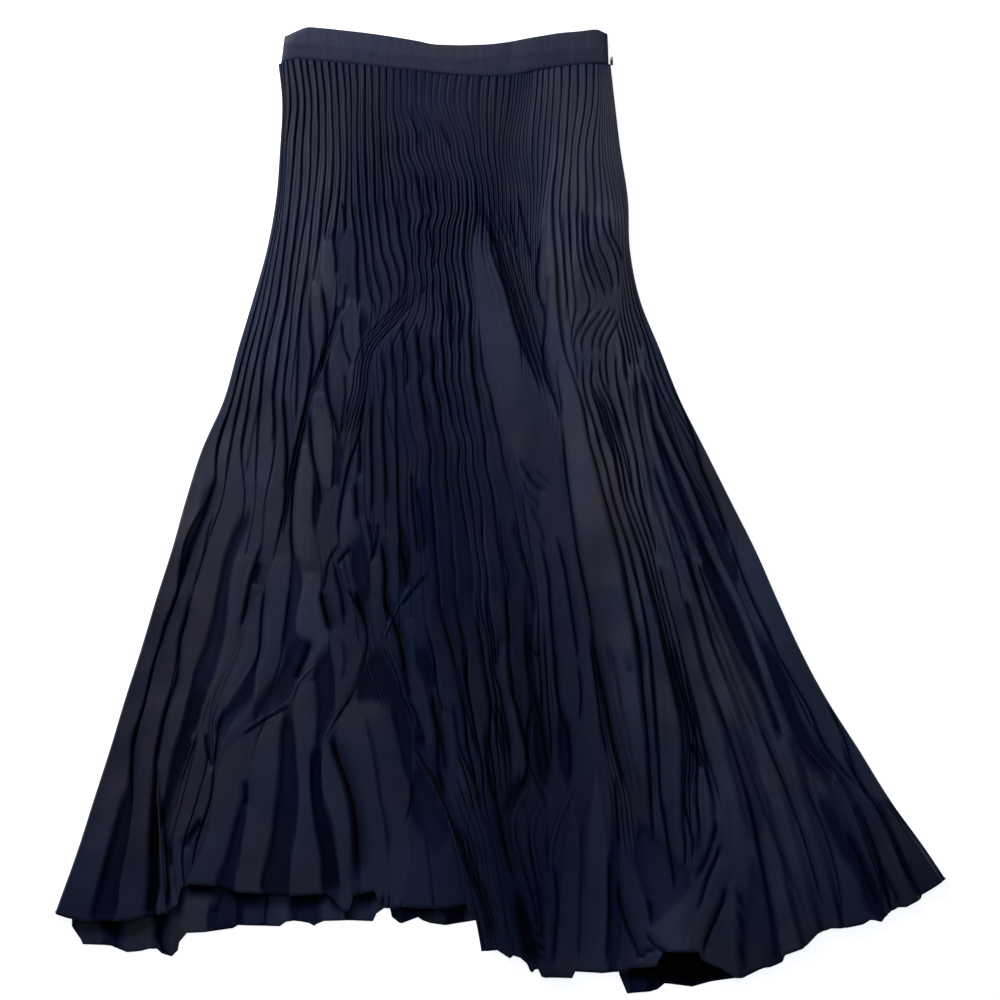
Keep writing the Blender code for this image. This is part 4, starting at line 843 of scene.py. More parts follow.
# Folds under the waist and across the middle, in the same columns as the creases
UPPER_STROKES = (
    # kind, half width, height, points
    # left of the middle, from the side inwards
    ("crease", 1.6, 1.0, ((290, 205), (288, 230), (284, 260), (281, 280), (278, 300), (272, 322), (268, 340),
        (262, 370), (262, 395))),
    ("crease", 1.6, 1.1, ((300, 200), (299, 225), (296, 245), (292, 265), (291, 280), (288, 310), (283, 330),
        (281, 345), (277, 375), (275, 400))),
    ("slit", 1.4, 1.8, ((309, 255), (307, 280), (303, 300), (301, 320), (299, 350), (298, 385), (297, 410),
        (297, 428))),
    ("slit", 1.9, 2.5, ((311, 296), (311, 320), (312, 340), (314, 352), (313, 366), (311, 382), (308, 400),
        (304, 418), (300, 436), (296, 452), (292, 472), (288, 492), (285, 512), (281, 530), (277, 549))),
    ("slit", 1.2, 1.8, ((309, 410), (306, 424), (302, 440), (298, 456), (294, 476), (290, 498), (286, 520),
        (283, 538))),
    ("slit", 2.2, 2.8, ((322, 285), (324, 295), (326, 308), (328, 325), (327, 343), (324, 360), (321, 380))),
    ("slit", 1.7, 2.2, ((334, 230), (335, 245), (337, 260), (337, 278))),
    ("slit", 1.5, 1.9, ((343, 203), (345, 216), (347, 230))),
    ("slit", 2.0, 2.8, ((356, 232), (358, 245), (358, 270), (359, 290), (360, 308))),
    ("slit", 1.3, 1.8, ((353, 203), (355, 220), (357, 236))),
    ("slit", 1.4, 2.0, ((360, 203), (363, 225), (365, 245), (367, 270), (369, 285), (372, 297), (376, 310),
        (377, 322))),
    ("slit", 1.3, 1.9, ((369, 200), (371, 225), (373, 250), (375, 270), (378, 283), (382, 297), (384, 309))),
    ("slit", 1.4, 2.0, ((377, 198), (379, 225), (381, 240), (383, 255), (388, 270), (391, 283), (393, 298))),
    ("slit", 1.3, 1.9, ((386, 198), (388, 220), (390, 240), (392, 252), (397, 265), (400, 277), (401, 292))),
    ("slit", 1.7, 2.4, ((397, 198), (399, 225), (402, 246), (406, 260), (407, 278), (404, 300))),
    ("slit", 1.2, 1.5, ((338, 306), (335, 322))),
    ("slit", 1.2, 1.5, ((347, 285), (344, 312))),
    ("slit", 1.5, 2.0, ((343, 322), (344, 340), (347, 352), (352, 364))),
    ("slit", 1.1, 1.5, ((345, 300), (336, 322), (329, 342), (322, 362), (314, 384), (307, 400))),
    ("ribbon", 0.9, 0.5, ((349, 302), (340, 324), (333, 343), (326, 364), (318, 386), (311, 404))),
    ("slit", 1.9, 2.4, ((382, 348), (384, 366), (386, 385), (384, 402), (384, 425), (385, 450), (387, 480),
        (388, 512))),
    ("slit", 1.5, 2.0, ((391, 328), (393, 352), (396, 376), (397, 402), (397, 430), (398, 460), (399, 500),
        (400, 524), (402, 550), (406, 572), (410, 588))),
    ("slit", 1.9, 2.5, ((403, 320), (404, 338), (407, 356), (408, 374), (406, 392))),
    ("slit", 2.2, 2.8, ((416, 320), (418, 338), (420, 354), (423, 371), (421, 386), (424, 402), (428, 420),
        (430, 440))),
    ("slit", 2.2, 2.8, ((430, 335), (434, 352), (434, 378), (438, 395), (443, 414))),
    ("slit", 2.4, 3.2, ((328, 360), (327, 378), (329, 398), (333, 414), (338, 430), (341, 446))),
    ("slit", 1.3, 1.8, ((345, 370), (346, 395), (343, 420), (341, 440))),
    ("slit", 2.2, 3.0, ((310, 412), (311, 430), (312, 447), (315, 464), (319, 480), (321, 494), (322, 508))),
    ("slit", 2.3, 3.0, ((284, 396), (286, 418), (287, 440), (288, 458), (287, 476), (284, 496))),
    ("slit", 1.5, 2.0, ((273, 390), (275, 408), (275, 425), (273, 446))),
    ("crease", 1.8, 1.2, ((262, 398), (258, 415), (254, 432), (250, 456), (246, 478))),
    ("crease", 1.4, 1.0, ((251, 405), (246, 430), (242, 448))),
    ("slit", 1.7, 2.5, ((301, 446), (298, 462), (295, 480), (293, 500), (292, 522), (292, 542), (294, 556),
        (299, 568))),
    ("slit", 1.9, 2.5, ((366, 396), (363, 414), (361, 430), (357, 444), (352, 458), (348, 472), (345, 486),
        (342, 502), (340, 518), (339, 532), (341, 548))),
    ("slit", 1.8, 2.5, ((360, 436), (361, 455), (360, 478))),
    ("slit", 2.7, 3.2, ((356, 484), (357, 500), (358, 522))),
    ("slit", 1.9, 2.5, ((372, 396), (372, 420), (372, 445), (373, 472), (373, 500), (371, 520))),
    ("slit", 1.7, 2.2, ((369, 520), (372, 538), (374, 550), (371, 563))),
    ("slit", 1.3, 1.9, ((379, 522), (377, 543), (373, 560))),
    ("slit", 2.6, 3.0, ((382, 540), (384, 556), (386, 574), (385, 592), (386, 606), (389, 620))),
    ("ribbon", 1.0, 1.0, ((356, 534), (350, 545), (343, 553), (337, 561), (331, 566))),
    ("slit", 1.9, 2.2, ((352, 548), (344, 556), (338, 564))),
    ("slit", 1.6, 2.2, ((341, 544), (333, 554), (328, 566), (326, 578), (323, 594))),
    ("ribbon", 0.9, 0.9, ((336, 560), (340, 576), (346, 588), (354, 600), (362, 614), (368, 630))),
    ("slit", 2.2, 2.8, ((336, 566), (338, 580), (342, 596), (344, 612), (345, 622))),
    ("slit", 1.7, 2.2, ((349, 590), (356, 604), (362, 616))),
    ("ribbon", 0.8, 0.6, ((434, 564), (424, 573), (415, 584), (407, 594), (399, 606))),
    ("slit", 1.4, 1.8, ((430, 573), (420, 583), (411, 594), (403, 606))),
    ("slit", 2.0, 2.2, ((404, 556), (407, 574), (406, 590))),
    ("slit", 1.5, 1.9, ((412, 470), (413, 500), (416, 530), (419, 556))),
    ("slit", 2.4, 2.0, ((417, 486), (421, 510), (424, 535), (425, 556))),
    # lower left, under the side
    ("slit", 3.8, 2.2, ((217, 476), (210, 500), (205, 515), (199, 530), (192, 546), (186, 566), (181, 588))),
    ("crease", 1.8, 1.5, ((214, 515), (209, 535), (205, 555), (199, 575), (194, 592))),
    ("slit", 2.2, 2.0, ((262, 546), (257, 562), (252, 580), (248, 600), (243, 622))),
    ("slit", 4.0, 2.2, ((260, 562), (258, 572), (254, 586))),
    # middle
    ("slit", 1.2, 1.1, ((412, 108), (413, 120), (418, 136), (420, 152))),
    ("slit", 1.2, 1.1, ((425, 118), (428, 128), (431, 137))),
    ("slit", 1.2, 1.1, ((440, 123), (444, 135), (448, 143), (452, 153))),
    ("slit", 1.2, 1.6, ((416, 172), (418, 185), (422, 197), (426, 212))),
    ("slit", 1.2, 1.6, ((424, 176), (428, 190), (431, 205), (433, 218))),
    ("slit", 1.2, 1.6, ((434, 180), (437, 195), (440, 207))),
    ("slit", 1.3, 1.8, ((428, 214), (430, 234), (433, 250), (434, 264))),
    ("slit", 1.7, 2.2, ((449, 286), (449, 302), (450, 320), (453, 335), (451, 350))),
    ("slit", 1.8, 2.2, ((459, 300), (461, 316), (462, 331), (460, 346))),
    ("slit", 1.7, 2.0, ((472, 332), (472, 350), (474, 372), (476, 390), (480, 412))),
    ("slit", 1.3, 1.5, ((436, 260), (432, 270))),
    ("slit", 1.3, 1.5, ((425, 286), (423, 295))),
    ("slit", 1.3, 1.5, ((433, 282), (433, 294))),
    # the tight bundle and the lap over it
    ("slit", 1.5, 2.2, ((470, 200), (482, 218), (490, 235), (497, 250), (501, 270), (505, 285), (509, 300),
        (514, 320), (519, 336), (524, 350), (531, 366), (537, 380), (542, 394))),
    ("slit", 1.2, 1.9, ((474, 197), (488, 222), (496, 240), (502, 258), (507, 275), (512, 292), (517, 308),
        (521, 322), (527, 340), (532, 354), (538, 370), (542, 386))),
    ("slit", 1.4, 1.8, ((518, 196), (521, 212), (524, 228), (528, 246), (532, 264))),
    ("slit", 1.2, 1.6, ((510, 203), (512, 224), (515, 240), (517, 252))),
    ("crease", 1.2, 1.0, ((549, 275), (547, 300), (545, 320))),
    ("crease", 1.2, 1.2, ((557, 358), (558, 380), (561, 402), (562, 418))),
    # right crumples
    ("slit", 1.01, 1.3, ((569, 206), (570, 230), (571, 256), (573, 282), (576, 306), (572, 332), (571, 356))),
    ("slit", 1.01, 1.3, ((576, 204), (577, 228), (578, 250), (581, 268), (586, 286), (590, 302), (586, 318),
        (577, 338))),
    ("slit", 1.26, 2.0, ((582, 208), (583, 230), (584, 250), (587, 266), (592, 280), (598, 297))),
    ("slit", 1.34, 2.0, ((589, 210), (588, 232), (589, 246), (593, 260), (598, 274), (603, 288), (608, 301))),
    ("slit", 1.26, 1.8, ((595, 212), (597, 234), (600, 249), (606, 263), (611, 278), (613, 297))),
    ("slit", 1.09, 1.5, ((602, 214), (604, 228), (609, 242), (615, 256), (618, 272), (619, 292))),
    ("slit", 1.3, 1.6, ((609, 216), (612, 236), (618, 248), (623, 264))),
    ("crease", 1.3, 1.2, ((563, 210), (564, 240), (565, 270), (567, 300), (566, 330))),
    ("ribbon", 1.2, 0.7, ((585, 236), (588, 254), (592, 268), (599, 284), (604, 298))),
    ("ribbon", 1.2, 0.7, ((592, 238), (596, 254), (602, 268), (607, 284), (611, 300))),
    ("slit", 1.3, 1.5, ((616, 308), (611, 320), (604, 332), (600, 344), (601, 354))),
    ("slit", 1.3, 1.5, ((612, 306), (604, 319), (597, 330), (593, 342), (592, 354))),
    ("slit", 1.2, 1.3, ((604, 306), (596, 318), (588, 328), (582, 342), (583, 356))),
    ("slit", 1.01, 1.3, ((596, 304), (586, 317), (578, 330), (574, 346), (576, 362), (578, 384))),
    ("slit", 1.18, 1.8, ((620, 316), (614, 330), (608, 342), (606, 356), (607, 376), (610, 394))),
    ("slit", 1.34, 2.0, ((592, 354), (592, 368), (591, 382), (594, 393), (602, 411), (609, 432), (614, 451),
        (616, 475))),
    ("slit", 1.26, 1.9, ((600, 356), (600, 372), (604, 388), (610, 401), (615, 412), (621, 432), (625, 446))),
    ("slit", 1.01, 1.3, ((583, 358), (583, 374), (584, 390), (588, 408), (596, 430), (602, 452))),
    ("slit", 1.09, 1.6, ((616, 352), (616, 372), (619, 392), (624, 412), (631, 434))),
    # crinkles in the smooth cloth beside the lap
    ("crease", 1.8, 1.3, ((519, 458), (527, 474), (535, 485), (548, 493))),
    ("crease", 1.6, 1.2, ((526, 470), (533, 484), (543, 495))),
    ("crease", 1.6, 1.2, ((522, 480), (528, 493), (537, 503), (540, 512))),
    ("crease", 1.8, 1.3, ((530, 505), (537, 520), (543, 535), (546, 548))),
    ("crease", 1.4, 1.0, ((536, 470), (544, 480), (552, 486))),
)

# The lap's edge, the middle and the right side, in the same columns as the creases
RIGHT_STROKES = (
    # kind, half width, height, points
    # the lap's edge and the gap beside it
    ("slit", 1.7, 1.8, ((543, 228), (539, 254), (537, 280), (539, 297), (545, 314), (545, 332), (543, 350),
        (546, 376), (556, 404), (562, 428))),
    ("slit", 1.5, 1.8, ((561, 420), (564, 446), (566, 468), (569, 492), (573, 520), (577, 548), (582, 575),
        (588, 601), (592, 622), (594, 645))),
    ("slit", 3.0, 3.0, ((592, 626), (594, 645), (597, 662), (602, 688), (607, 712), (612, 738), (617, 758),
        (622, 775), (626, 792))),
    ("slit", 1.8, 1.8, ((590, 640), (594, 668), (598, 700), (602, 730), (608, 760))),
    # where the folds cross, left of the middle
    ("gash", 2.3, 2.4, ((321, 590), (324, 604), (328, 618), (332, 634))),
    ("gash", 2.5, 2.4, ((356, 596), (360, 608), (364, 619), (368, 632))),
    ("gash", 2.6, 2.8, ((391, 612), (396, 628), (401, 642), (403, 656), (405, 676))),
    ("gash", 1.7, 2.2, ((383, 548), (386, 566), (386, 584), (386, 600), (389, 622))),
    ("gash", 2.0, 2.2, ((432, 694), (436, 712), (440, 730), (444, 752), (447, 776))),
    # the middle, down to the hem
    ("slit", 2.0, 1.8, ((437, 590), (445, 622), (452, 650), (459, 676), (465, 702), (474, 738), (482, 765))),
    ("slit", 1.9, 1.8, ((455, 590), (459, 615), (463, 640), (465, 666), (468, 690), (471, 712))),
    ("slit", 1.9, 1.8, ((475, 590), (478, 611), (480, 636), (482, 660), (486, 680), (491, 703), (498, 728),
        (506, 768))),
    ("slit", 2.0, 2.0, ((486, 592), (488, 620), (492, 646), (494, 670), (500, 690), (504, 712), (509, 737),
        (511, 770))),
    ("slit", 2.1, 2.2, ((497, 500), (500, 530), (504, 560), (508, 575), (507, 600), (509, 630), (509, 660),
        (512, 690), (518, 710), (522, 730), (527, 750), (529, 775), (526, 805))),
    ("slit", 2.0, 2.0, ((512, 520), (519, 545), (525, 560), (530, 576), (533, 596), (535, 618))),
    ("slit", 1.9, 2.0, ((540, 540), (545, 560), (549, 580), (550, 600), (552, 625), (554, 650), (556, 680),
        (558, 702))),
    ("slit", 1.9, 2.0, ((556, 535), (563, 560), (567, 580), (570, 600), (573, 620), (576, 640), (579, 664))),
    ("slit", 1.5, 1.2, ((578, 664), (581, 690), (580, 720))),
    ("slit", 1.4, 1.6, ((455, 822), (466, 852), (476, 880), (488, 912), (493, 942))),
    ("crease", 1.6, 1.0, ((606, 640), (612, 665), (618, 690), (625, 722))),
    ("crease", 1.6, 1.2, ((623, 648), (626, 660), (630, 674))),
    ("crease", 2.2, 1.0, ((636, 618), (638, 660), (642, 700), (646, 732), (650, 762))),
    # the right side
    ("slit", 3.6, 3.0, ((690, 742), (696, 756), (702, 770))),
    ("ribbon", 1.3, 1.1, ((773, 650), (791, 683), (806, 709), (817, 738), (835, 768), (857, 790))),
    ("slit", 1.6, 2.0, ((776, 652), (794, 684), (809, 710), (821, 738), (839, 766), (860, 789))),
    ("slit", 1.7, 2.2, ((839, 738), (850, 768), (865, 790), (879, 812), (894, 845), (909, 878), (919, 893))),
    ("slit", 1.6, 1.9, ((754, 713), (770, 752), (786, 790), (799, 827), (811, 866), (822, 906))),
    ("slit", 1.5, 1.9, ((804, 784), (816, 812), (827, 842), (836, 878), (842, 918))),
    ("slit", 2.9, 1.5, ((648, 418), (657, 436), (667, 458), (677, 484), (690, 518), (701, 542), (712, 565),
        (724, 588))),
    ("slit", 2.6, 1.3, ((652, 462), (662, 492), (674, 524), (683, 550), (692, 576), (703, 605))),
    ("slit", 1.1, 1.7, ((635, 368), (637, 396), (640, 428), (643, 447), (647, 470), (652, 500), (657, 522))),
    ("slit", 1.0, 1.5, ((643, 372), (648, 396), (652, 416), (657, 440), (663, 462), (671, 484))),
    ("slit", 1.3, 2.1, ((651, 372), (656, 393), (660, 413), (669, 435), (678, 456), (687, 475), (695, 492),
        (703, 512), (713, 538), (722, 560))),
    ("ribbon", 1.3, 0.9, ((658, 390), (665, 405), (677, 440), (684, 460), (694, 481), (708, 503), (719, 524),
        (732, 552))),
    ("slit", 1.5, 1.9, ((666, 380), (675, 396), (685, 416), (694, 439), (701, 467), (712, 492), (722, 519),
        (731, 543))),
    ("slit", 1.4, 1.7, ((729, 538), (740, 571), (753, 603), (766, 630), (777, 654))),
    ("slit", 1.6, 1.6, ((826, 702), (836, 722), (845, 742), (851, 764), (860, 786), (870, 802))),
    ("slit", 1.8, 2.2, ((710, 683), (732, 746), (747, 797), (762, 871), (773, 926))),
    ("crease", 2.0, 1.4, ((724, 694), (746, 760), (768, 820), (790, 876), (806, 915))),
    ("crease", 2.0, 1.4, ((700, 600), (722, 650), (742, 704), (760, 740))),
    ("ribbon", 1.0, 1.0, ((797, 737), (806, 748), (815, 758), (830, 775), (841, 786), (850, 796), (860, 815),
        (868, 836))),
    ("slit", 2.0, 2.2, ((845, 830), (856, 852), (866, 878), (878, 908))),
    ("slit", 1.6, 1.8, ((880, 865), (890, 884), (899, 905))),
    # the lower middle, down to the hem
    ("slit", 2.4, 2.2, ((528, 642), (533, 652), (541, 658))),
    ("gash", 3.2, 3.2, ((486, 722), (487, 745), (489, 772), (494, 795), (500, 818), (505, 845), (512, 868),
        (518, 888))),
    ("slit", 2.0, 2.0, ((452, 700), (456, 722), (460, 748), (470, 770), (478, 790), (481, 812))),
    ("slit", 1.8, 2.0, ((495, 700), (501, 718), (506, 738), (509, 756))),
    ("slit", 2.4, 2.6, ((510, 688), (516, 702), (521, 722), (526, 742), (528, 764), (524, 782), (516, 796))),
    ("slit", 2.0, 2.0, ((533, 686), (537, 704), (541, 722), (544, 742), (548, 764), (548, 784))),
    ("slit", 1.8, 1.8, ((556, 650), (557, 688), (561, 712), (568, 734), (571, 758), (570, 784))),
    ("ribbon", 1.9, 0.8, ((547, 796), (536, 812), (532, 834), (536, 862), (541, 890))),
    ("ribbon", 1.9, 0.8, ((530, 786), (520, 800), (514, 815), (514, 838), (522, 862))),
    ("ribbon", 1.8, 0.7, ((573, 790), (562, 812), (554, 836), (550, 862))),
    ("ribbon", 1.2, 0.8, ((478, 786), (470, 806), (466, 828), (468, 856), (474, 880))),
    ("slit", 1.6, 1.8, ((529, 834), (532, 858), (536, 880), (540, 902), (542, 930), (543, 968))),
    ("slit", 1.8, 1.8, ((520, 852), (526, 874), (532, 894), (537, 920), (538, 966))),
    ("slit", 2.2, 2.0, ((553, 862), (557, 888), (558, 904), (556, 930), (553, 965))),
    ("crease", 2.6, 1.2, ((583, 812), (582, 850), (581, 905), (579, 965))),
    ("slit", 2.4, 1.8, ((609, 850), (609, 880), (609, 920), (606, 965))),
    ("slit", 1.7, 1.8, ((615, 776), (616, 800), (618, 826), (619, 850))),
    # folds that curve into the lifted hem
    ("slit", 2.6, 2.8, ((618, 880), (621, 906), (627, 926), (633, 940), (640, 955))),
    ("slit", 2.6, 2.0, ((635, 955), (641, 954), (648, 949), (655, 946))),
    ("slit", 2.2, 1.6, ((648, 898), (650, 910), (650, 924))),
    ("slit", 2.6, 2.2, ((645, 932), (651, 940), (658, 946), (667, 950))),
    ("slit", 2.0, 2.0, ((661, 796), (665, 820), (668, 842), (671, 862), (675, 890))),
    ("slit", 2.0, 2.0, ((682, 788), (685, 808), (689, 826), (693, 844), (691, 858))),
    ("slit", 1.6, 1.6, ((684, 828), (685, 846), (684, 864))),
    ("crease", 2.6, 1.2, ((692, 790), (697, 808), (699, 830), (697, 850))),
    ("slit", 3.0, 2.4, ((716, 820), (713, 838), (708, 852), (702, 866), (694, 876))),
    ("slit", 2.6, 2.6, ((721, 842), (716, 858), (710, 871), (705, 884), (701, 897), (696, 908))),
    ("ribbon", 1.4, 1.2, ((717, 846), (711, 860), (705, 872), (699, 882))),
    ("slit", 3.2, 3.2, ((726, 884), (721, 904), (714, 919), (708, 931), (704, 941), (702, 952))),
    ("crease", 2.6, 1.2, ((735, 880), (737, 910), (738, 962))),
    ("slit", 2.0, 2.2, ((740, 884), (741, 912), (742, 940), (743, 974))),
    ("slit", 2.0, 1.9, ((744, 780), (750, 805), (756, 830), (761, 858), (766, 884), (770, 910), (774, 952))),
    ("crease", 2.4, 1.1, ((763, 785), (768, 800), (774, 830), (783, 860), (788, 892), (796, 925))),
)

# Bundles of lines side by side: kind, how many, the gap at the start and at the end, then as above
BUNDLES = (
    # kind, count, first gap, last gap, half width, height, points
    ("slit", 3, 3.4, 3.2, 1.1, 1.6, ((853, 800), (864, 829), (875, 860), (883, 885), (886, 904))),
    ("slit", 5, 3.0, 3.6, 0.9, 1.2, ((418, 284), (408, 300), (396, 315), (382, 330), (370, 345), (363, 364),
        (360, 390), (354, 415), (345, 446))),
    ("slit", 2, 3.6, 3.4, 0.8, 0.8, ((338, 318), (329, 344), (320, 368), (311, 394), (304, 420), (297, 450),
        (290, 482), (284, 512))),
    ("slit", 4, 6.0, 4.2, 1.0, 1.5, ((490, 196), (497, 222), (504, 244), (511, 268), (518, 294), (526, 320),
        (533, 346), (541, 372), (548, 398))),
    ("slit", 3, 3.6, 3.4, 1.1, 1.5, ((643, 556), (652, 590), (661, 626), (670, 662), (678, 698), (685, 728))),
    ("slit", 4, 3.4, 3.4, 1.0, 1.5, ((672, 640), (680, 676), (686, 706), (691, 736), (691, 766), (687, 800))),
    ("slit", 2, 5.0, 6.0, 1.6, 1.7, ((681, 672), (689, 706), (700, 744), (710, 776), (718, 806))),
    ("slit", 3, 4.5, 5.0, 1.2, 1.5, ((594, 388), (601, 404), (609, 424), (616, 446), (622, 470), (628, 500))),
    ("slit", 3, 4.0, 3.5, 1.1, 1.4, ((457, 822), (466, 850), (476, 880), (487, 908), (492, 940))),
    ("crease", 3, 5.0, 6.0, 1.6, 1.0, ((484, 800), (494, 830), (503, 866), (510, 900), (514, 944))),
    ("crease", 3, 5.5, 6.5, 1.5, 0.9, ((604, 640), (612, 690), (622, 742), (636, 800))),
)

# Painted shade, and over 1 painted light: ACROSS, DOWN, reach each way, share of open sky
SHADE = (
    # across, down, reach across, reach down, share
    (-75, 110, 90, 130, 0.75),
    (-40, 50, 130, 60, 0.80),
    (-90, 380, 70, 190, 0.62),
    (-20, 560, 70, 240, 0.66),
    (45, 700, 60, 180, 0.60),
    (10, 840, 70, 110, 0.62),
    (110, 860, 70, 100, 0.80),
    (150, 780, 80, 130, 0.85),
    (-120, 560, 60, 110, 0.75),
    (-100, 700, 60, 70, 0.85),
    (-400, 850, 90, 90, 0.80),
    (-190, 800, 120, 90, 0.84),
    (140, 395, 48, 80, 1.35),
    (245, 640, 60, 90, 1.15),
)

# The back's hem strip, which shows below the front's hem: the same columns as the patches
# Caves, gaps and the right flap are painted shadow under the lifted front hem; the facets have painted light
# and shade
BACK_PATCHES = {
    "cave": (-0.8, 0.0, 2.5, ((652, 948), (664, 940), (700, 940), (716, 954), (730, 962), (742, 972),
        (735, 980), (715, 982), (700, 987), (675, 984), (660, 983), (655, 965))),
    "cave_left": (-0.8, 0.0, 2.0, ((626, 962), (645, 962), (657, 958), (660, 968), (654, 976), (630, 979))),
    "flap_right": (-0.8, 0.05, 2.0, ((740, 968), (760, 955), (785, 946), (788, 958), (762, 969), (745, 978))),
    "facet_1": (0.6, 1.0, 1.4, ((78, 912), (100, 918), (101, 944), (80, 942))),
    "facet_2": (0.6, 1.0, 1.4, ((124, 914), (151, 916), (152, 956), (126, 952))),
    "facet_3": (0.5, 0.75, 1.4, ((166, 912), (180, 908), (181, 950), (170, 962))),
    "facet_4": (0.7, 1.1, 1.4, ((183, 890), (207, 890), (209, 934), (184, 936))),
    "facet_5": (-0.3, 0.3, 1.4, ((211, 890), (224, 886), (222, 932), (212, 934))),
    "facet_6": (0.5, 0.8, 1.4, ((241, 900), (262, 896), (262, 930), (242, 932))),
    "facet_7": (0.7, 1.1, 1.4, ((269, 895), (291, 895), (290, 928), (268, 930))),
    "facet_8": (-0.3, 0.35, 1.4, ((296, 900), (316, 900), (317, 928), (297, 928))),
    "facet_9": (0.7, 1.15, 1.4, ((321, 898), (344, 900), (344, 924), (323, 924))),
    "facet_10": (0.6, 1.0, 1.4, ((349, 900), (377, 900), (376, 922), (351, 922))),
    "facet_11": (0.6, 1.1, 1.4, ((410, 915), (436, 906), (446, 920), (420, 926))),
    "facet_12": (0.6, 1.0, 1.4, ((466, 900), (480, 902), (480, 920), (466, 921))),
    "gap_1": (-0.8, 0.0, 2.0, ((88, 905), (126, 905), (124, 925), (117, 940), (108, 938), (100, 928),
        (90, 921))),
    "gap_2": (-0.8, 0.0, 1.6, ((152, 905), (166, 905), (164, 935), (158, 945), (153, 930))),
    "gap_3": (-0.8, 0.0, 1.6, ((186, 872), (222, 872), (216, 890), (206, 896), (190, 894))),
    "gap_4": (-0.8, 0.0, 1.6, ((230, 882), (266, 882), (262, 900), (248, 906), (235, 903))),
    "gap_5": (-0.8, 0.0, 1.6, ((286, 884), (330, 884), (326, 898), (310, 903), (292, 902))),
    "gap_6": (-0.8, 0.0, 1.6, ((328, 880), (343, 885), (343, 910), (336, 914), (330, 900))),
    "gap_7": (-0.8, 0.0, 1.6, ((348, 885), (376, 880), (374, 900), (364, 908), (352, 903))),
    "gap_8": (-0.8, 0.0, 1.6, ((392, 890), (400, 896), (440, 898), (436, 912), (412, 918), (398, 906))),
    "gap_9": (-0.8, 0.0, 1.6, ((446, 895), (468, 893), (464, 915), (457, 922), (450, 910))),
}
# Slits with painted shade between the back's facets
BACK_STROKES = (
    # kind, half width, height, points
    ("slit", 2.0, 1.0, ((121, 915), (122, 930), (123, 945))),
    ("slit", 2.0, 1.0, ((155, 918), (158, 935), (163, 948), (168, 956))),
    ("slit", 1.6, 1.0, ((225, 886), (218, 905), (212, 932))),
    ("slit", 1.8, 1.0, ((238, 900), (240, 914), (238, 930))),
    ("slit", 2.2, 1.0, ((268, 890), (266, 908), (264, 930))),
    ("slit", 1.6, 1.0, ((293, 895), (293, 910), (292, 924))),
    ("slit", 1.6, 1.0, ((316, 900), (320, 912), (318, 926))),
    ("slit", 1.8, 1.0, ((345, 890), (346, 906), (346, 922))),
    ("slit", 1.8, 1.0, ((376, 890), (379, 904), (378, 916))),
    ("slit", 1.6, 1.0, ((440, 905), (446, 914), (448, 924))),
    ("slit", 1.6, 1.0, ((649, 975), (650, 984), (648, 992))),
)

# ---------------------------------------------------------------- looks and stage

# The crepe's colours, painted by the light: in the deepest shade, in half light and in full light; its gloss
# is painted weaker in shade
PLEATED_COLOURS = {
    "deep": (0.0008, 0.0016, 0.0085), "colour": (0.0042, 0.0072, 0.0285), "lit": (0.0258, 0.0288, 0.0545),
    "shine": (0.03, 0.26), "roughness": 0.52,
}
BAND_COLOURS = {
    "deep": (0.002, 0.003, 0.012), "colour": (0.010, 0.013, 0.036), "lit": (0.020, 0.0225, 0.050),
    "shine": (0.12, 0.28), "roughness": 0.52,
}
# The painted shade ramp: black where no light reaches, up to a painted highlight where the sky is wide open
RAMP_PLACES = (0.02, 0.175, 0.70)   # amounts of light at which they are reached
BLACKER = 0.15              # than the deep colour, where no light reaches
BRIGHTER = 1.5              # than the lit colour, where the sky is wide open
# Tints of all colours, bluer and browner: blended by random patches and by the painted tint of warm light and
# cool shade
COOL = (0.74, 1.0, 1.10)
WARM = (1.22, 1.0, 0.86)
# The slider's own dark grey, then a painted glint at the end that catches the light
SLIDER_STOPS = (
    # share of its length, colour
    (0.55, (0.035, 0.037, 0.045, 1)),
    (0.72, (0.42, 0.43, 0.45, 1)),
)

# The stage, in metres
FLOOR_HEIGHT = -0.0005
FLOOR_CORNERS = ((-6, -6), (6, -6), (6, 6), (-6, 6))
LIGHTS = (
    # name, place, target, size, energy, colour
    ("key", (-1.0, 1.25, 0.95), (0, 0.05, 0), 0.7, 28, (0.96, 0.98, 1.0)),
    ("top", (-0.4, 0.9, 3.2), (0, 0.1, 0), 1.4, 10, (0.92, 0.96, 1.0)),
)
# The camera looks straight down and sees a square of VIEW_WIDTH round this place of the tables' frame
VIEW_ACROSS = 0
VIEW_DOWN = 440
VIEW_WIDTH = 1.0
CAMERA_HEIGHT = 2.6
SENSOR = 36                 # millimetres

# ---------------------------------------------------------------- curves and regions

def read_table(table, at):
    """Second column of a two-column table, read at values of the first."""
    columns = np.array(table, dtype=float)
    return np.interp(at, columns[:, 0], columns[:, 1])


def curve_between(start, end, out, into, share):
    """Smooth curve from start to end that leaves and arrives with those slopes."""
    return (start * (1 + 2 * share) * (1 - share) ** 2 + out * share * (1 - share) ** 2
            + end * share ** 2 * (3 - 2 * share) + into * share ** 2 * (share - 1))


def smooth_table(stations, values, at):
    """Smooth curve through each column of values, given at the stations, read at one place each."""
    stations = np.array(stations, dtype=float)
    slopes = np.gradient(values, stations, axis=0)
    at = np.clip(at, stations[0], None)
    low = np.clip(np.searchsorted(stations, at, side="right") - 1, 0, len(stations) - 2)
    span = stations[low + 1] - stations[low]
    share = (at - stations[low]) / span
    column = np.arange(values.shape[1])
    end, into = values[low + 1, column], slopes[low + 1, column] * span
    inside = curve_between(values[low, column], end, slopes[low, column] * span, into, share)
    return np.where(share > 1, end + into * (share - 1), inside)


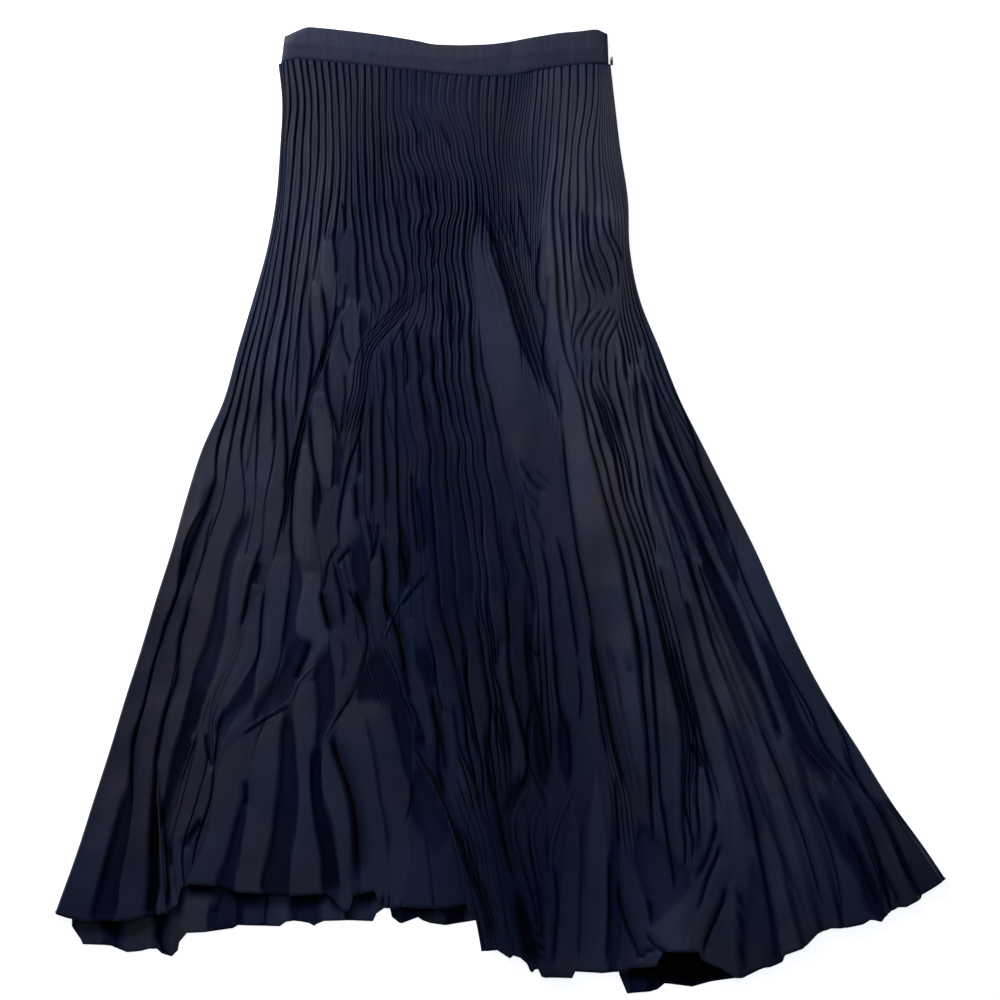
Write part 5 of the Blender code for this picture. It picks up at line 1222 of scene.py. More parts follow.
def smooth_line(points):
    """A rounder line through the same points."""
    points = np.array(points, dtype=float)
    if len(points) < 3:
        return points
    place = np.concatenate([[0], np.cumsum(np.linalg.norm(np.diff(points, axis=0), axis=1))])
    fine = np.linspace(0, place[-1], LINE_FINENESS * len(points))
    slopes = np.gradient(points, place, axis=0)
    low = np.clip(np.searchsorted(place, fine, side="right") - 1, 0, len(place) - 2)
    span = (place[low + 1] - place[low])[:, None]
    share = (fine - place[low])[:, None] / span
    return curve_between(points[low], points[low + 1], slopes[low] * span, slopes[low + 1] * span, share)


def smooth_step(share):
    """0 to 1 with soft ends."""
    share = np.clip(share, 0, 1)
    return share * share * (3 - 2 * share)


def smooth_bump(distance):
    """1 in the middle, falling smoothly to 0 at a distance of 1."""
    return smooth_step(1 - np.abs(distance))


def waver(seed, place, length):
    """A smooth, repeatable wander between -1 and 1, changing over that length."""
    turn = place / length
    return sum(np.sin(turn * rate + seed * shift) for rate, shift in WAVER_TURNS) / len(WAVER_TURNS)


def wander(what, pleat, down):
    """How one of the pleats' measures wanders down the skirt, pleat by pleat."""
    mean, spread, seed, length = WANDERS[what]
    return mean + spread * waver(pleat + seed, down, length)


def near_region(across, down, middle_across, middle_down, reach_across, reach_down):
    """1 at a region's middle, dying away past its reach."""
    return np.exp(-((across - middle_across) / reach_across) ** 2 - ((down - middle_down) / reach_down) ** 2)


def region_share(table, across, down):
    """Product of the table's shares, each one full at its middle and 1 away from it."""
    share = np.ones_like(across)
    for *region, left in table:
        share *= 1 - (1 - left) * near_region(across, down, *region)
    return share


def region_sum(table, across, down):
    """Sum of the table's values, each one full at its middle and 0 away from it."""
    total = np.zeros_like(across)
    for *region, most in table:
        total += most * near_region(across, down, *region)
    return total


def to_metres(across, down, height):
    """Points of the tables' frame in the model's frame, as an array of triples."""
    return np.stack([(across - CENTRE_ACROSS) * MM, (CENTRE_DOWN - down) * MM, height * MM], axis=-1)


# ---------------------------------------------------------------- fold lines

def fold_table():
    """ACROSS of every fold line at every station, with the lines between the stated ones."""
    folds = np.arange(PLEATS + 1)
    rows = []
    for table in (WAIST_LINES, FOLD_LINES):
        stated = sorted(table)
        for column in zip(*(table[fold] for fold in stated)):
            rows.append(np.interp(folds, stated, column))
    return np.array(rows)


def keep_apart(lines):
    """Fold lines in order across the panel, none nearer than MIN_PITCH, its sides unmoved."""
    spread = lines.copy()
    for fold in range(1, len(spread) - 1):
        spread[fold] = max(spread[fold], spread[fold - 1] + MIN_PITCH)
    for fold in range(len(spread) - 2, 0, -1):
        spread[fold] = min(spread[fold], spread[fold + 1] - MIN_PITCH)
    return spread


def meet_edge(line_at, edge, lines):
    """DOWN where each line meets an edge, found by walking along the line to the edge's outline."""
    down = np.full(lines, edge[len(edge) // 2][1], dtype=float)
    for _ in range(EDGE_STEPS):
        down = (down + read_table(edge, line_at(down))) / 2
    return down


def fold_lines(rows):
    """ACROSS and DOWN of each fold line on each row, and the rows' shares of the way to the hem."""
    table = fold_table()

    def line_at(down):
        return smooth_table(STATIONS, table, down)

    waist_down = meet_edge(line_at, WAIST_SEAM, PLEATS + 1)
    hem_down = meet_edge(line_at, FRONT_HEM, PLEATS + 1)
    density = np.cumsum(read_table(ROW_DENSITY, np.linspace(0, DENSITY_LENGTH, DENSITY_STEPS)))
    density = (density - density[0]) / (density[-1] - density[0])
    levels = np.interp(np.linspace(0, 1, rows), density, np.linspace(0, 1, DENSITY_STEPS))
    down = waist_down + (hem_down - waist_down) * levels[:, None]
    across = np.array([keep_apart(line_at(row)) for row in down])
    return across, down, levels


def settling(levels, start, length):
    """0 to 1 on the rows over which the hem's shape is taken on."""
    return np.clip((levels[:, None] - start) / length, 0, 1)


def broad_width(fold, down):
    """Width of each fold line's broad return, 0 where it has none; both arguments are arrays."""
    width = np.zeros_like(down)
    for wide_fold, start, full, end, full_width in BROAD_RETURNS:
        last = 1 if end == TO_HEM else 0
        opening = smooth_step(np.interp(down, (start, full, end), (0, 1, last)))
        opening = np.where((down > start) & (down < end), opening, 0)
        width = np.where(fold == wide_fold, np.maximum(width, full_width * opening), width)
    return width


# ---------------------------------------------------------------- heights

def swell_height(across, down):
    """Height of the drape under the pleats."""
    height = np.zeros_like(across)
    for mid_across, mid_down, reach_across, reach_down, rise in SWELLS:
        height += rise * (smooth_bump((across - mid_across) / reach_across)
                          * smooth_bump((down - mid_down) / reach_down))
    tunnel = smooth_bump((across - TUNNEL_ACROSS) / TUNNEL_HALF_WIDTH)
    mouth = np.clip((down - TUNNEL_DOWN + TUNNEL_LENGTH) / TUNNEL_LENGTH, 0, 1) ** 2
    return height + TUNNEL_HEIGHT * tunnel * mouth


def lap_height(place, down):
    """Step of the fold that lies over its neighbours."""
    along = smooth_step(np.interp(down, LAP_DOWN, (0, 1, 1, 0)))
    fade = np.clip(1 - (place - LAPPED_FOLD) / LAP_PLEATS, 0, 1)
    return np.where(place < LAPPED_FOLD, 0, LAP_RISE * along * fade)


def side_wave(across, down):
    """How far the fold lines wave to one side."""
    most, length, width, start = EVEN_WAVE
    shift = most * np.sin(down / length + across / width) * smooth_step(down / start)
    for *region, most, length in WAVES:
        shift += most * near_region(across, down, *region) * np.sin(
            2 * np.pi * down / length + across / WAVE_LAG)
    return shift


def face_profile(share, face):
    """Share of the rise across a face: steep beside its valley, then nearly flat, with a rounded crest."""
    reach = np.minimum(WALL_REACH, WALL_MOST * face)
    wall = 1 - np.exp(-share * face / reach)
    dome = WALL_SHARE * wall + (1 - WALL_SHARE) * np.sin(share * np.pi / 2)
    edge = np.clip(1 - (1 - share) * face / np.minimum(CREST_WIDTH, CREST_SHARE * face), 0, 1)
    return dome - CREST_DROP * edge * edge


def broad_share(width):
    """0 for a slit to 1 for a broad return."""
    return np.clip((width - SLIT_WIDEST) / BROAD_SPAN, 0, 1)


def return_profile(share, width, soft):
    """Share of the rise down a return: a slit's side, a soft slope, or a cliff and the slope beyond it."""
    slit = RETURN_TOP * (1 - smooth_step(share)) * (1 - SLIT_SAG * share)
    cliff = np.clip(CLIFF / width, *CLIFF_LIMITS)
    first = RETURN_TOP - CLIFF_DROP * smooth_step(share / cliff)
    floor = (RETURN_TOP - CLIFF_DROP) * (1 - np.clip((share - cliff) / (1 - cliff), 0, 1)) ** SLOPE_POWER
    broad = np.where(share < cliff, first, floor)
    wide = broad_share(width) * (1 - soft)
    return slit * (1 - wide) + broad * wide


# ---------------------------------------------------------------- patches and strokes

def board_points(points):
    """The board's points as ACROSS and DOWN."""
    return np.array(points, dtype=float) - (BOARD_ACROSS, BOARD_DOWN)


def near_box(across, down, points, reach):
    """Which points lie within reach of the box round a line or an outline."""
    low, high = points.min(axis=0) - reach, points.max(axis=0) + reach
    return (across > low[0]) & (across < high[0]) & (down > low[1]) & (down < high[1])


def line_distance(across, down, points):
    """Distance to a line's nearest point, how far along it that is, from 0 to 1, and on which side."""
    lengths = np.linalg.norm(np.diff(points, axis=0), axis=1)
    starts = np.concatenate([[0], np.cumsum(lengths)])
    best = np.full(across.shape, np.inf)
    along = np.zeros(across.shape)
    side = np.zeros(across.shape)
    for index, length in enumerate(lengths):
        start, end = points[index], points[index + 1]
        run = (end - start) / length
        t = np.clip((across - start[0]) * run[0] + (down - start[1]) * run[1], 0, length)
        gap = np.hypot(across - start[0] - t * run[0], down - start[1] - t * run[1])
        nearer = gap < best
        best = np.where(nearer, gap, best)
        along = np.where(nearer, (starts[index] + t) / starts[-1], along)
        side = np.where(nearer, (across - start[0]) * run[1] - (down - start[1]) * run[0], side)
    return best, along, side


def inside_outline(across, down, points):
    """Whether each point is inside a closed outline."""
    within = np.zeros(across.shape, dtype=bool)
    for (x0, y0), (x1, y1) in zip(points, np.roll(points, -1, axis=0)):
        crosses = (y0 > down) != (y1 > down)
        with np.errstate(divide="ignore", invalid="ignore"):
            at = x0 + (down - y0) * (x1 - x0) / (y1 - y0)
        within ^= crosses & (across < at)
    return within


def inside_mask(across, down, points, edge):
    """How far inside a closed outline each point lies, and 0 outside to 1 inside with a soft edge."""
    gap = line_distance(across, down, points)[0]
    depth = np.where(inside_outline(across, down, points), gap, -gap)
    return depth, smooth_step(0.5 + depth / edge)


def iron_patches(across, down, pleats, painted_open_sky, patches, keep=0.0, fade=0.0):
    """The pleats' heights and open sky with the patches laid on them, with their shade and light painted.

    keep is the pleats' share that stays; fade is how far the ends fade out, up and down the skirt.
    """
    for lift, sky, edge, outline in patches.values():
        points = smooth_line(np.vstack([board_points(outline), board_points(outline)[:1]]))
        reach = max(fade, TROUGH_FADE if lift < 0 else FACE_FADE)
        near = near_box(across, down, points, edge + reach)
        if not near.any():
            continue
        depth, mask = inside_mask(across[near], down[near], points, edge)
        ends = [inside_mask(across[near], down[near] + shift, points, edge)[1]
                for shift in (-reach, -reach / 2, reach / 2, reach)]
        mask = (mask + sum(ends)) / (1 + len(ends))
        dome = 1 - np.exp(-np.maximum(depth, 0) / DOME_REACH)
        level = PLEAT_MEAN + lift * (1 - DOME_SHARE + DOME_SHARE * dome)
        mask = mask * (1 - keep)
        pleats[near] = pleats[near] * (1 - mask) + mask * level
        shaded = sky * (RIM_SKY + (MIDDLE_SKY - RIM_SKY) * dome) if lift < 0 else sky
        painted_open_sky[near] = painted_open_sky[near] * (1 - mask) + mask * shaded
    return pleats, painted_open_sky


def side_vectors(points):
    """Unit vectors square to a line, at each of its points."""
    run = np.gradient(points, axis=0)
    return np.column_stack([run[:, 1], -run[:, 0]]) / np.linalg.norm(run, axis=1)[:, None]


def widen_strips(strips):
    """Patches from the strips' middle lines, narrower towards both ends."""
    patches = {}
    for number, (lift, sky, edge, half_width, line) in enumerate(strips):
        points = np.array(line, dtype=float)
        taper = np.sqrt(np.sin(np.pi * np.linspace(STRIP_END, 1 - STRIP_END, len(points))))
        side = -side_vectors(points) * (half_width * taper[:, None])
        patches[number] = (lift, sky, edge, np.vstack([points + side, (points - side)[::-1]]))
    return patches


def spread_bundles(bundles):
    """Strokes of each bundle: the same line several times, side by side."""
    strokes = []
    for kind, count, first_gap, last_gap, half_width, size, line in bundles:
        points = smooth_line(line)
        gaps = np.linspace(first_gap, last_gap, len(points))[:, None]
        for index in range(count):
            strokes.append((kind, half_width, size * (1 - BUNDLE_UNEVEN * (index % 2)),
                            points + side_vectors(points) * gaps * (index - (count - 1) / 2)))
    return strokes


def draw_strokes(across, down, height, painted_open_sky, strokes):
    """Heights and open sky with the creases and ribbons drawn on them, with their shade and light painted."""
    for kind, half_width, size, line in strokes:
        points = smooth_line(board_points(line))
        near = near_box(across, down, points, STROKE_REACH * half_width)
        if not near.any():
            continue
        gap, along, side = line_distance(across[near], down[near], points)
        taper = smooth_step(np.minimum(along, 1 - along) / TAPER + TAPER_START)
        inner = smooth_bump(gap / half_width) * taper
        if kind == "ribbon":
            foot = smooth_bump((gap - FOOT_PLACE * half_width) / (FOOT_WIDTH * half_width)) * taper
            height[near] += size * inner - FOOT_SINK * size * foot
            painted_open_sky[near] = np.clip(painted_open_sky[near] * (1 - FOOT_SHADE * foot), inner, 1)
        else:
            darkness = DARKNESS[kind]
            tail = smooth_bump(gap / np.where(side > 0, *TAIL_REACH) / half_width) * taper
            ridge = smooth_bump((gap / half_width - RIDGE_PLACE) / RIDGE_WIDTH) * taper * (side < 0)
            height[near] -= size * (INNER_SHARE * inner + TAIL_SHARE * tail - RIDGE_SHARE * ridge)
            shade = 1 - TAIL_SHADE * darkness * tail * (side > 0)
            painted_open_sky[near] *= (1 - darkness * np.sqrt(inner)) * shade
    return height, painted_open_sky


# ---------------------------------------------------------------- the front's cloth

def face_shares(points):
    """Shares across a face, closer together beside the valley and the crest."""
    even = np.linspace(0, 1, points, endpoint=False)[None, None, :]
    return even ** FACE_CROWDING * (1 - CREST_CROWDING * np.sin(np.pi * even))


def front_grid(first_fold, last_fold, face_points, return_points, rows):
    """ACROSS, DOWN, height and open sky of one part's points."""
    line_across, line_down, levels = fold_lines(rows)
    left, right = line_across[:, first_fold:last_fold], line_across[:, first_fold + 1:last_fold + 1]
    left_down, right_down = line_down[:, first_fold:last_fold], line_down[:, first_fold + 1:last_fold + 1]
    pleat = np.arange(first_fold, last_fold)[None, :] + 0 * left
    pitch = right - left
    middle = (left + right) / 2

    def wanders(what):
        return wander(what, pleat, right_down)

    # Widths and rises of the pleats
    uneven = wanders("width_long") + wanders("width_short")
    width = np.minimum(SLIT_SHARE * pitch * uneven, SLIT_MOST * uneven)
    soft = region_sum(HALF_OPEN, middle, right_down)
    width += soft * pitch * wanders("half_open")
    broad = broad_width(pleat + 1, right_down)
    width = np.minimum(np.maximum(width, broad), WIDEST_RETURN * pitch)
    strength = wanders("rise_long") + wanders("rise_short")
    rise = np.clip(RISE_SHARE * pitch, RISE_LEAST, RISE_MOST) * strength
    rise = np.maximum(rise * region_share(FAINT, middle, right_down), BROAD_RISE * broad)

    # Places across each pleat: its face, then its return
    every = 0 * left[:, :, None]
    face_share = face_shares(face_points) + every
    return_share = np.linspace(0, 1, return_points, endpoint=False)[None, None, :] ** RETURN_CROWDING + every
    face, width = (pitch - width)[:, :, None], width[:, :, None]
    soft = np.clip(soft * SOFTNESS, 0, 1)[:, :, None]
    from_valley = face_share * face
    offset = np.concatenate([from_valley, face + return_share * width], axis=2)
    second = region_sum(MID_CREASES, middle, right_down)[:, :, None]
    second = second * smooth_bump((face_share - 0.5 - wanders("second_place")[:, :, None]) / SECOND_WIDTH)
    profile = np.concatenate([face_profile(face_share, face) - SECOND_DEPTH * second,
                              return_profile(return_share, width, soft)], axis=2)

    # How open to the light each place is, as painted shade and light
    lit_face = (1 - np.exp(-from_valley / VALLEY_SHADE)) * (
        FACE_START + FACE_MORE * np.clip(2 * face_share, 0, 1))
    lit_face = lit_face * (1 - SECOND_SHADE * second)
    wide = broad_share(width)
    lit_return = (wide * (RETURN_SKY + RETURN_SKY_MORE * return_share)
                  + soft * wide * SOFT_SKY * (1 - return_share))
    lit_return[:, :, 0] = CREST_SKY
    gaping = np.clip(wanders("gaping"), LEAST_GAPING, 1)[:, :, None]
    painted_open_sky = 1 - (1 - np.concatenate([lit_face, lit_return], axis=2)) * gaping
    painted_open_sky = painted_open_sky * (1 - FACE_SPREAD * wanders("face_tone"))[:, :, None]

    across = left[:, :, None] + offset
    place = offset / pitch[:, :, None]
    down = left_down[:, :, None] * (1 - place) + right_down[:, :, None] * place
    slope = region_sum(LEAN, across, down) + wanders("lean")[:, :, None]
    height = rise[:, :, None] * profile + slope * (offset - face / 2) * np.minimum(profile, 1)
    where = pleat[:, :, None] + place

    def flat(values, last):
        return np.concatenate([values.reshape(len(left), -1), last[:, None]], axis=1)

    none = 0 * right[:, -1]
    across, down = flat(across, right[:, -1]), flat(down, right_down[:, -1])
    height, painted_open_sky, where = flat(height, none), flat(painted_open_sky, none), flat(where, none + last_fold)
    painted_open_sky = 1 - (1 - painted_open_sky) * region_share(FAINT, across, down)
    airy = 1 - region_share(AIRY, across, down)
    painted_open_sky = np.maximum(painted_open_sky, LEAST_SKY)
    painted_open_sky *= (1 + airy * (1 - painted_open_sky)) * (1 + AIRY_MORE * airy)

    # The hem and the waist follow their outlines between the fold lines too
    to_hem = read_table(FRONT_HEM, across[-1]) - down[-1]
    to_waist = read_table(WAIST_SEAM, across[0]) - down[0]
    down += to_hem * settling(levels, *HEM_SETTLES)
    down += to_waist * np.clip((WAIST_SETTLES - levels[:, None]) / WAIST_SETTLES, 0, 1)
    inner = (smooth_step((where - EDGE_STILL) / STILL_PLEATS)
             * smooth_step((PLEATS - where) / STILL_PLEATS))
    across += side_wave(across, down) * inner * smooth_step((1 - levels[:, None]) / HEM_STILL)

    for patches, keep, fade in ((ZONES, ZONE_KEEP, ZONE_FADE), (BARE_ZONES, BARE_KEEP, ZONE_FADE),
                                (PATCHES, 0, 0), (widen_strips(FACE_STRIPS), 0, 0)):
        height, painted_open_sky = iron_patches(across, down, height, painted_open_sky, patches, keep, fade)
    strokes = (*UPPER_STROKES, *STROKES, *RIGHT_STROKES, *spread_bundles(BUNDLES))
    height, painted_open_sky = draw_strokes(across, down, height, painted_open_sky, strokes)
    painted_open_sky *= region_share(SHADE, across, down)
    height += FRONT_FLOOR + FRONT_RISE + swell_height(across, down) + lap_height(where, down)
    grids = turn_hem([across, down, height, painted_open_sky])
    if first_fold == 0:
        grids = [flipped[:, ::-1] for flipped in close_side([grid[:, ::-1] for grid in grids], -1)]
    if last_fold == PLEATS:
        grids = close_side(grids, 1)
    return grids


def turn_hem(grids):
    """The grids with rows at the hem that turn the cloth's edge under itself."""
    across, down, height, painted_open_sky = (grid[-1] for grid in grids)
    rows = [(across, down - inset, height - drop, painted_open_sky * sky) for drop, inset, sky in HEM_TURN]
    return [np.vstack([grid, *more]) for grid, *more in zip(grids, *rows)]


def close_side(grids, outward):
    """The grids with columns beyond the last one, round the side fold and down to the back."""
    across, down, height, painted_open_sky = (grid[:, -1] for grid in grids)
    columns = [(across + outward * out, down, BACK_LEVEL + (height - BACK_LEVEL) * share, painted_open_sky * 0 + sky)
               for out, share, sky in SIDE_TURN]
    return [np.column_stack([grid, *more]) for grid, *more in zip(grids, *columns)]


# ---------------------------------------------------------------- the back's cloth and the band

def back_grid():
    """ACROSS, DOWN, height and open sky of the back's cloth."""
    sides = fold_table()[:, (0, PLEATS)] + (BACK_SIDE_INSET, -BACK_SIDE_INSET)
    pleat = np.repeat(np.arange(PLEATS), len(BACK_PROFILE))
    share, rise, sky = (np.tile(column, PLEATS) for column in np.array(BACK_PROFILE).T)
    share, rise, sky = np.append((pleat + share) / PLEATS, 1), np.append(rise, 0), np.append(sky, 1)
    pleat = np.floor(share * PLEATS)[None, :]

    def line_at(down):
        left, right = (smooth_table(STATIONS, np.repeat(side[:, None], len(share), axis=1), down)
                       for side in sides.T)
        left = np.clip(left, BACK_LEFT_CORNER, None)
        right = np.clip(right, None, BACK_RIGHT_CORNER)
        return left + (right - left) * share

    waist_down = meet_edge(line_at, WAIST_SEAM, len(share))
    hem_down = meet_edge(line_at, BACK_HEM, len(share))
    levels = np.concatenate([np.linspace(0, BACK_FINE_FROM, BACK_ROWS_ABOVE, endpoint=False),
                             np.linspace(BACK_FINE_FROM, 1, BACK_ROWS_BELOW)])
    down = waist_down + (hem_down - waist_down) * levels[:, None]
    across = np.array([line_at(row) for row in down])
    free = np.clip(levels[:, None] * BACK_FREE, 0, 1) * (share * (1 - share) > 0)
    across += wander("back_side", pleat, down) * free
    to_hem = read_table(BACK_HEM, across[-1]) - down[-1]
    down += to_hem * settling(levels, *BACK_HEM_SETTLES)
    pitch = (across[:, -1:] - across[:, :1]) / PLEATS
    height = np.minimum(BACK_RISE_SHARE * pitch, BACK_RISE) * rise * wander("back_rise", pleat, down)
    painted_open_sky = BACK_SKY * sky * wander("back_light", pleat, down)
    height, painted_open_sky = iron_patches(across, down, height + PLEAT_MEAN, painted_open_sky, BACK_PATCHES)
    height, painted_open_sky = draw_strokes(across, down, height - PLEAT_MEAN, painted_open_sky, BACK_STROKES)
    return turn_hem([across, down, np.maximum(BACK_LEVEL + height, BACK_LEAST), painted_open_sky])


def band_lean(across):
    """How far the band's top leans inwards over its seam."""
    left, right, reach = BAND_LEAN
    return (left * np.clip(1 - (across - BAND_LEFT) / reach, 0, 1)
            + right * np.clip(1 - (BAND_RIGHT - across) / reach, 0, 1))


def band_grid(level, swell):
    """One half of the band: its outside, the roll over its top edge and its inside, as one cloth."""
    across = np.linspace(BAND_LEFT, BAND_RIGHT, BAND_COLUMNS)
    top, seam = read_table(BAND_TOP, across), read_table(WAIST_SEAM, across)
    kernel = np.ones(2 * BAND_SMOOTH + 1) / (2 * BAND_SMOOTH + 1)
    top = np.convolve(np.pad(top, BAND_SMOOTH, mode="edge"), kernel, mode="valid")
    middle, reach, depth = BAND_DENT
    ends = 1 - np.exp(-(BAND_RIGHT - across) / BAND_END_RIGHT) - np.exp(-(across - BAND_LEFT) / BAND_END_LEFT)
    rows = []
    for up, rise, sky in BAND_PROFILE:
        dent = depth * smooth_bump((across - middle) / reach) * rise
        down = seam + (top - seam) * up
        from_ridge = (down - read_table(BAND_RIDGE, across)) / BAND_RIDGE_WIDTH
        ridge = BAND_RIDGE_RISE * np.exp(-from_ridge ** 2) * (rise > 0)
        lift = (BAND_THICKNESS * (BAND_LEAST + BAND_FULLNESS * rise * ends)
                + swell * (rise * ends * BAND_SWELL_SHARE + ridge) - dent)
        height = level + np.where(rise < 0, BAND_INSIDE, lift)
        rows.append((across + band_lean(across) * up, down, height, 0 * across + sky))
    return [np.array(column) for column in zip(*rows)]


# ---------------------------------------------------------------- meshes

def link_object(name, data):
    """An object of that data in the scene."""
    thing = bpy.data.objects.new(name, data)
    bpy.context.scene.collection.objects.link(thing)
    return thing


def grid_faces(rows, columns):
    """Quads of a grid of points, facing up when rows go down the skirt and columns go across."""
    first = (np.arange(rows - 1)[:, None] * columns + np.arange(columns - 1)[None, :]).ravel()
    return np.stack([first, first + columns, first + columns + 1, first + 1], axis=1).tolist()


def cloth_coords(points, rows, columns):
    """Distances along the cloth, across and down it, in metres, as a point's texture coordinates."""
    grid = points.reshape(rows, columns, 3)
    steps = np.linalg.norm(np.diff(grid, axis=1), axis=2)
    over = np.concatenate([np.zeros((rows, 1)), np.cumsum(steps, axis=1)], axis=1)
    over -= over[:, columns // 2][:, None]
    fall = np.linalg.norm(np.diff(grid, axis=0), axis=2)
    along = np.concatenate([np.zeros((1, columns)), np.cumsum(fall, axis=0)], axis=0)
    return np.stack([over.ravel(), -along.ravel()], axis=1)


def build_cloth(name, grids, material, node):
    """A cloth in place of a solid, with its weave laid along it."""
    across, down, height, painted_open_sky = grids
    points = to_metres(across, down, height).reshape(-1, 3)
    mesh = bpy.data.meshes.new(name)
    mesh.from_pydata([tuple(point) for point in points], [], grid_faces(*across.shape))
    mesh.update()
    layer = mesh.uv_layers.new(name="cloth")
    corner = np.empty(len(mesh.loops), dtype=np.int32)
    mesh.loops.foreach_get("vertex_index", corner)
    layer.data.foreach_set("uv", cloth_coords(points, *across.shape)[corner].astype(np.float32).ravel())
    # The share of open sky is painted shade and light, which the material turns into colour and gloss
    for key, values in (("painted_open_sky", painted_open_sky), ("painted_warmth", 0.5 + region_sum(PAINTED_WARMTH, across, down))):
        layer = mesh.attributes.new(key, "FLOAT", "POINT")
        layer.data.foreach_set("value", values.astype(np.float32).ravel())
    mesh.shade_smooth()
    mesh.materials.append(material)
    cloth = link_object(name, mesh)
    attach(cloth, "root")
    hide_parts(node)


# ---------------------------------------------------------------- materials

def new_material(name, **values):
    """A Principled material with those socket values, and its shader."""
    material = bpy.data.materials.new(name)
    material.use_nodes = True
    shader = material.node_tree.nodes["Principled BSDF"]
    for socket, value in values.items():
        shader.inputs[socket.replace("_", " ")].default_value = value
    return material, shader


def add_node(material, kind, values=(), feeds=()):
    """A shader node, with values for its sockets and the outputs that feed them."""
    node = material.node_tree.nodes.new("ShaderNode" + kind)
    for socket, value in dict(values).items():
        node.inputs[socket].default_value = value
    feed(material, node, feeds)
    return node


def feed(material, node, feeds):
    """Link the outputs to the node's sockets."""
    for socket, output in dict(feeds).items():
        material.node_tree.links.new(output, node.inputs[socket])


def add_math(material, operation, first, second):
    """A node that adds or multiplies two outputs."""
    node = add_node(material, "Math", feeds={0: first, 1: second})
    node.operation = operation
    return node


def add_attribute(material, name):
    """Output of one of the mesh's own attributes."""
    node = add_node(material, "Attribute")
    node.attribute_name = name
    return node.outputs["Fac"]


def tint_ramp(material, amount, deep, colour, lit, tints):
    """Colour painted by the amount of light, from black to the brightest, with a tint."""
    ramp = add_node(material, "ValToRGB", feeds={"Fac": amount})
    stops = ramp.color_ramp.elements
    stops[0].color = (*(BLACKER * value for value in deep), 1)
    stops[1].color = (*(BRIGHTER * value * share for value, share in zip(lit, tints)), 1)
    for place, shade in zip(RAMP_PLACES, (deep, colour, lit)):
        stops.new(place).color = (*(value * share for value, share in zip(shade, tints)), 1)
    return ramp.outputs["Color"]


def cloth_material(name, deep, colour, lit, shine, roughness):
    """A fine crepe: navy, woven, a little crinkled, with painted shade and light in its colour and gloss."""
    material, shader = new_material(name, Sheen_Weight=0.06, Sheen_Roughness=0.45, Roughness=roughness)
    material.diffuse_color = (*colour, 1)
    along_cloth = add_node(material, "TexCoord").outputs["UV"]

    # Colour: painted by the light that reaches each place, and browner or bluer with random patches and a
    # painted tint of warm light
    tone = add_node(material, "TexNoise", {"Scale": 22, "Detail": 3}, {"Vector": along_cloth})
    spread = add_node(material, "MapRange", {"To Min": 0.42, "To Max": 0.84}, {"Value": tone.outputs["Fac"]})
    amount = add_math(material, "MULTIPLY", add_attribute(material, "painted_open_sky"),
                      spread.outputs["Result"]).outputs[0]
    ramps = [tint_ramp(material, amount, deep, colour, lit, tints) for tints in (COOL, WARM)]
    patchy = add_node(material, "TexNoise", {"Scale": 9, "Detail": 1.5}, {"Vector": along_cloth})
    sharpen = add_node(material, "MapRange",
                       {"From Min": 0.35, "From Max": 0.65, "To Min": -0.42, "To Max": 0.42},
                       {"Value": patchy.outputs["Fac"]})
    # Random patches plus the painted tint of warm light and cool shade
    tint = add_math(material, "ADD", sharpen.outputs["Result"], add_attribute(material, "painted_warmth"))
    tint.use_clamp = True
    blend = add_node(material, "Mix")
    blend.data_type = "RGBA"
    feed(material, blend, {"Factor": tint.outputs[0], "A": ramps[0], "B": ramps[1]})
    # Gloss painted weaker in the painted shade and stronger in the painted light
    gloss = add_node(material, "MapRange", {"From Max": 0.7, "To Min": shine[0], "To Max": shine[1]},
                     {"Value": amount})

    # Weave, with a thread for every third of a millimetre, and soft crinkles down the cloth
    threads = []
    for direction in "XY":
        wave = add_node(material, "TexWave", {"Scale": 480, "Distortion": 0.6}, {"Vector": along_cloth})
        wave.bands_direction = direction
        threads.append(wave.outputs["Fac"])
    weave = add_node(material, "Bump", {"Strength": 0.25, "Distance": 0.0001},
                     {"Height": add_math(material, "MULTIPLY", *threads).outputs[0]})
    stretch = add_node(material, "Mapping", {"Scale": (1, 0.22, 1)}, {"Vector": along_cloth})
    crinkle = add_node(material, "TexNoise", {"Scale": 130, "Detail": 2.5},
                       {"Vector": stretch.outputs["Vector"]})
    bumps = add_node(material, "Bump", {"Strength": 0.5, "Distance": 0.0009},
                     {"Height": crinkle.outputs["Fac"], "Normal": weave.outputs["Normal"]})
    feed(material, shader, {"Base Color": blend.outputs["Result"], "Normal": bumps.outputs["Normal"],
                            "Specular IOR Level": gloss.outputs["Result"]})
    return material


def slider_material():
    """Dull grey metal, dark below, with a painted glint at the end that catches the light."""
    material, shader = new_material("slider_grey", Base_Color=(0.30, 0.31, 0.33, 1), Metallic=0.6)
    noise = add_node(material, "TexNoise", {"Scale": 900})
    rough = add_node(material, "MapRange", {"To Min": 0.29, "To Max": 0.41}, {"Value": noise.outputs["Fac"]})
    split = add_node(material, "SeparateXYZ",
                     feeds={"Vector": add_node(material, "TexCoord").outputs["Generated"]})
    ramp = add_node(material, "ValToRGB", feeds={"Fac": split.outputs["Y"]})
    for stop, (place, colour) in zip(ramp.color_ramp.elements, SLIDER_STOPS):
        stop.position, stop.color = place, colour
    feed(material, shader, {"Roughness": rough.outputs["Result"], "Base Color": ramp.outputs["Color"]})
    return material


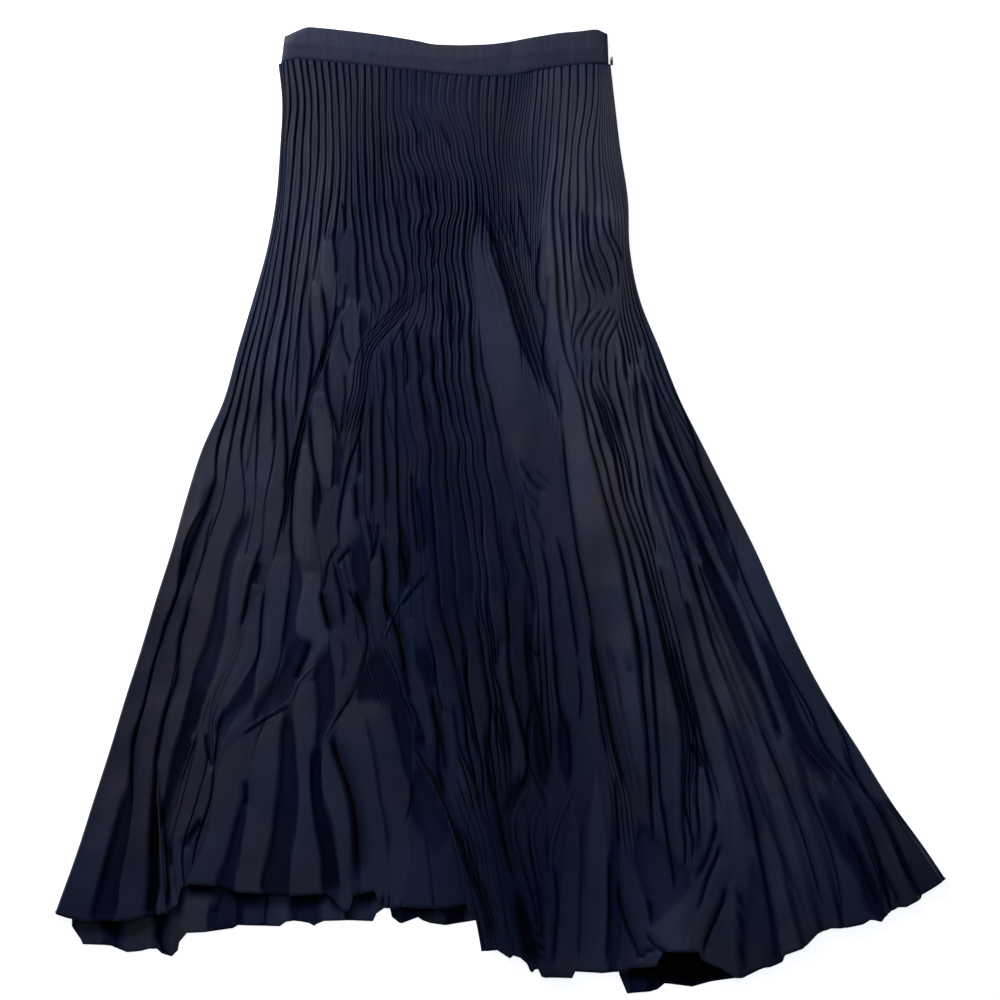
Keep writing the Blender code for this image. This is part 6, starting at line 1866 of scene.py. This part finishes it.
def build_pieces():
    """The cloths in place of their solids, and the slider's metal."""
    pleated = cloth_material("pleated_crepe", **PLEATED_COLOURS)
    band = cloth_material("band_crepe", **BAND_COLOURS)
    metal = slider_material()
    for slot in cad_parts["zip_slider"].material_slots:
        slot.material = metal
    for name, part in FRONT_PARTS.items():
        build_cloth(name, front_grid(*part), pleated, "front_panel")
    build_cloth("back_cloth", back_grid(), pleated, "back_panel")
    for half, level, swell in BAND_HALVES:
        build_cloth(half + "_cloth", band_grid(level, swell), band, half)


# ---------------------------------------------------------------- stage, light and camera

def area_light(name, place, target, size, energy, colour):
    """A soft square light."""
    data = bpy.data.lights.new(name, "AREA")
    data.shape = "SQUARE"
    data.size, data.energy, data.color = size, energy, colour
    thing = link_object(name, data)
    thing.location = place
    thing.rotation_euler = (Vector(target) - Vector(place)).to_track_quat("-Z", "Y").to_euler()


def build_studio():
    """A plain pale floor, soft light from the top left, and the camera straight above."""
    mesh = bpy.data.meshes.new("floor")
    mesh.from_pydata([(x, y, FLOOR_HEIGHT) for x, y in FLOOR_CORNERS], [], [(0, 1, 2, 3)])
    paper, _ = new_material("paper", Base_Color=(0.9, 0.9, 0.9, 1), Roughness=0.9,
                            Emission_Color=(1, 1, 1, 1), Emission_Strength=0.85)
    mesh.materials.append(paper)
    floor = link_object("floor", mesh)

    world = bpy.data.worlds.new("studio")
    bpy.context.scene.world = world
    world.use_nodes = True
    background = world.node_tree.nodes["Background"]
    background.inputs["Color"].default_value = (0.55, 0.72, 1.0, 1)
    background.inputs["Strength"].default_value = 0.11
    for light in LIGHTS:
        area_light(*light)

    data = bpy.data.cameras.new("camera")
    data.sensor_width = SENSOR
    data.lens = SENSOR * CAMERA_HEIGHT / VIEW_WIDTH
    camera = link_object("camera", data)
    camera.location = ((VIEW_ACROSS - CENTRE_ACROSS) * MM, (CENTRE_DOWN - VIEW_DOWN) * MM, CAMERA_HEIGHT)
    bpy.context.scene.camera = camera
    bpy.context.scene.view_settings.view_transform = "Standard"


build_pieces()
build_studio()
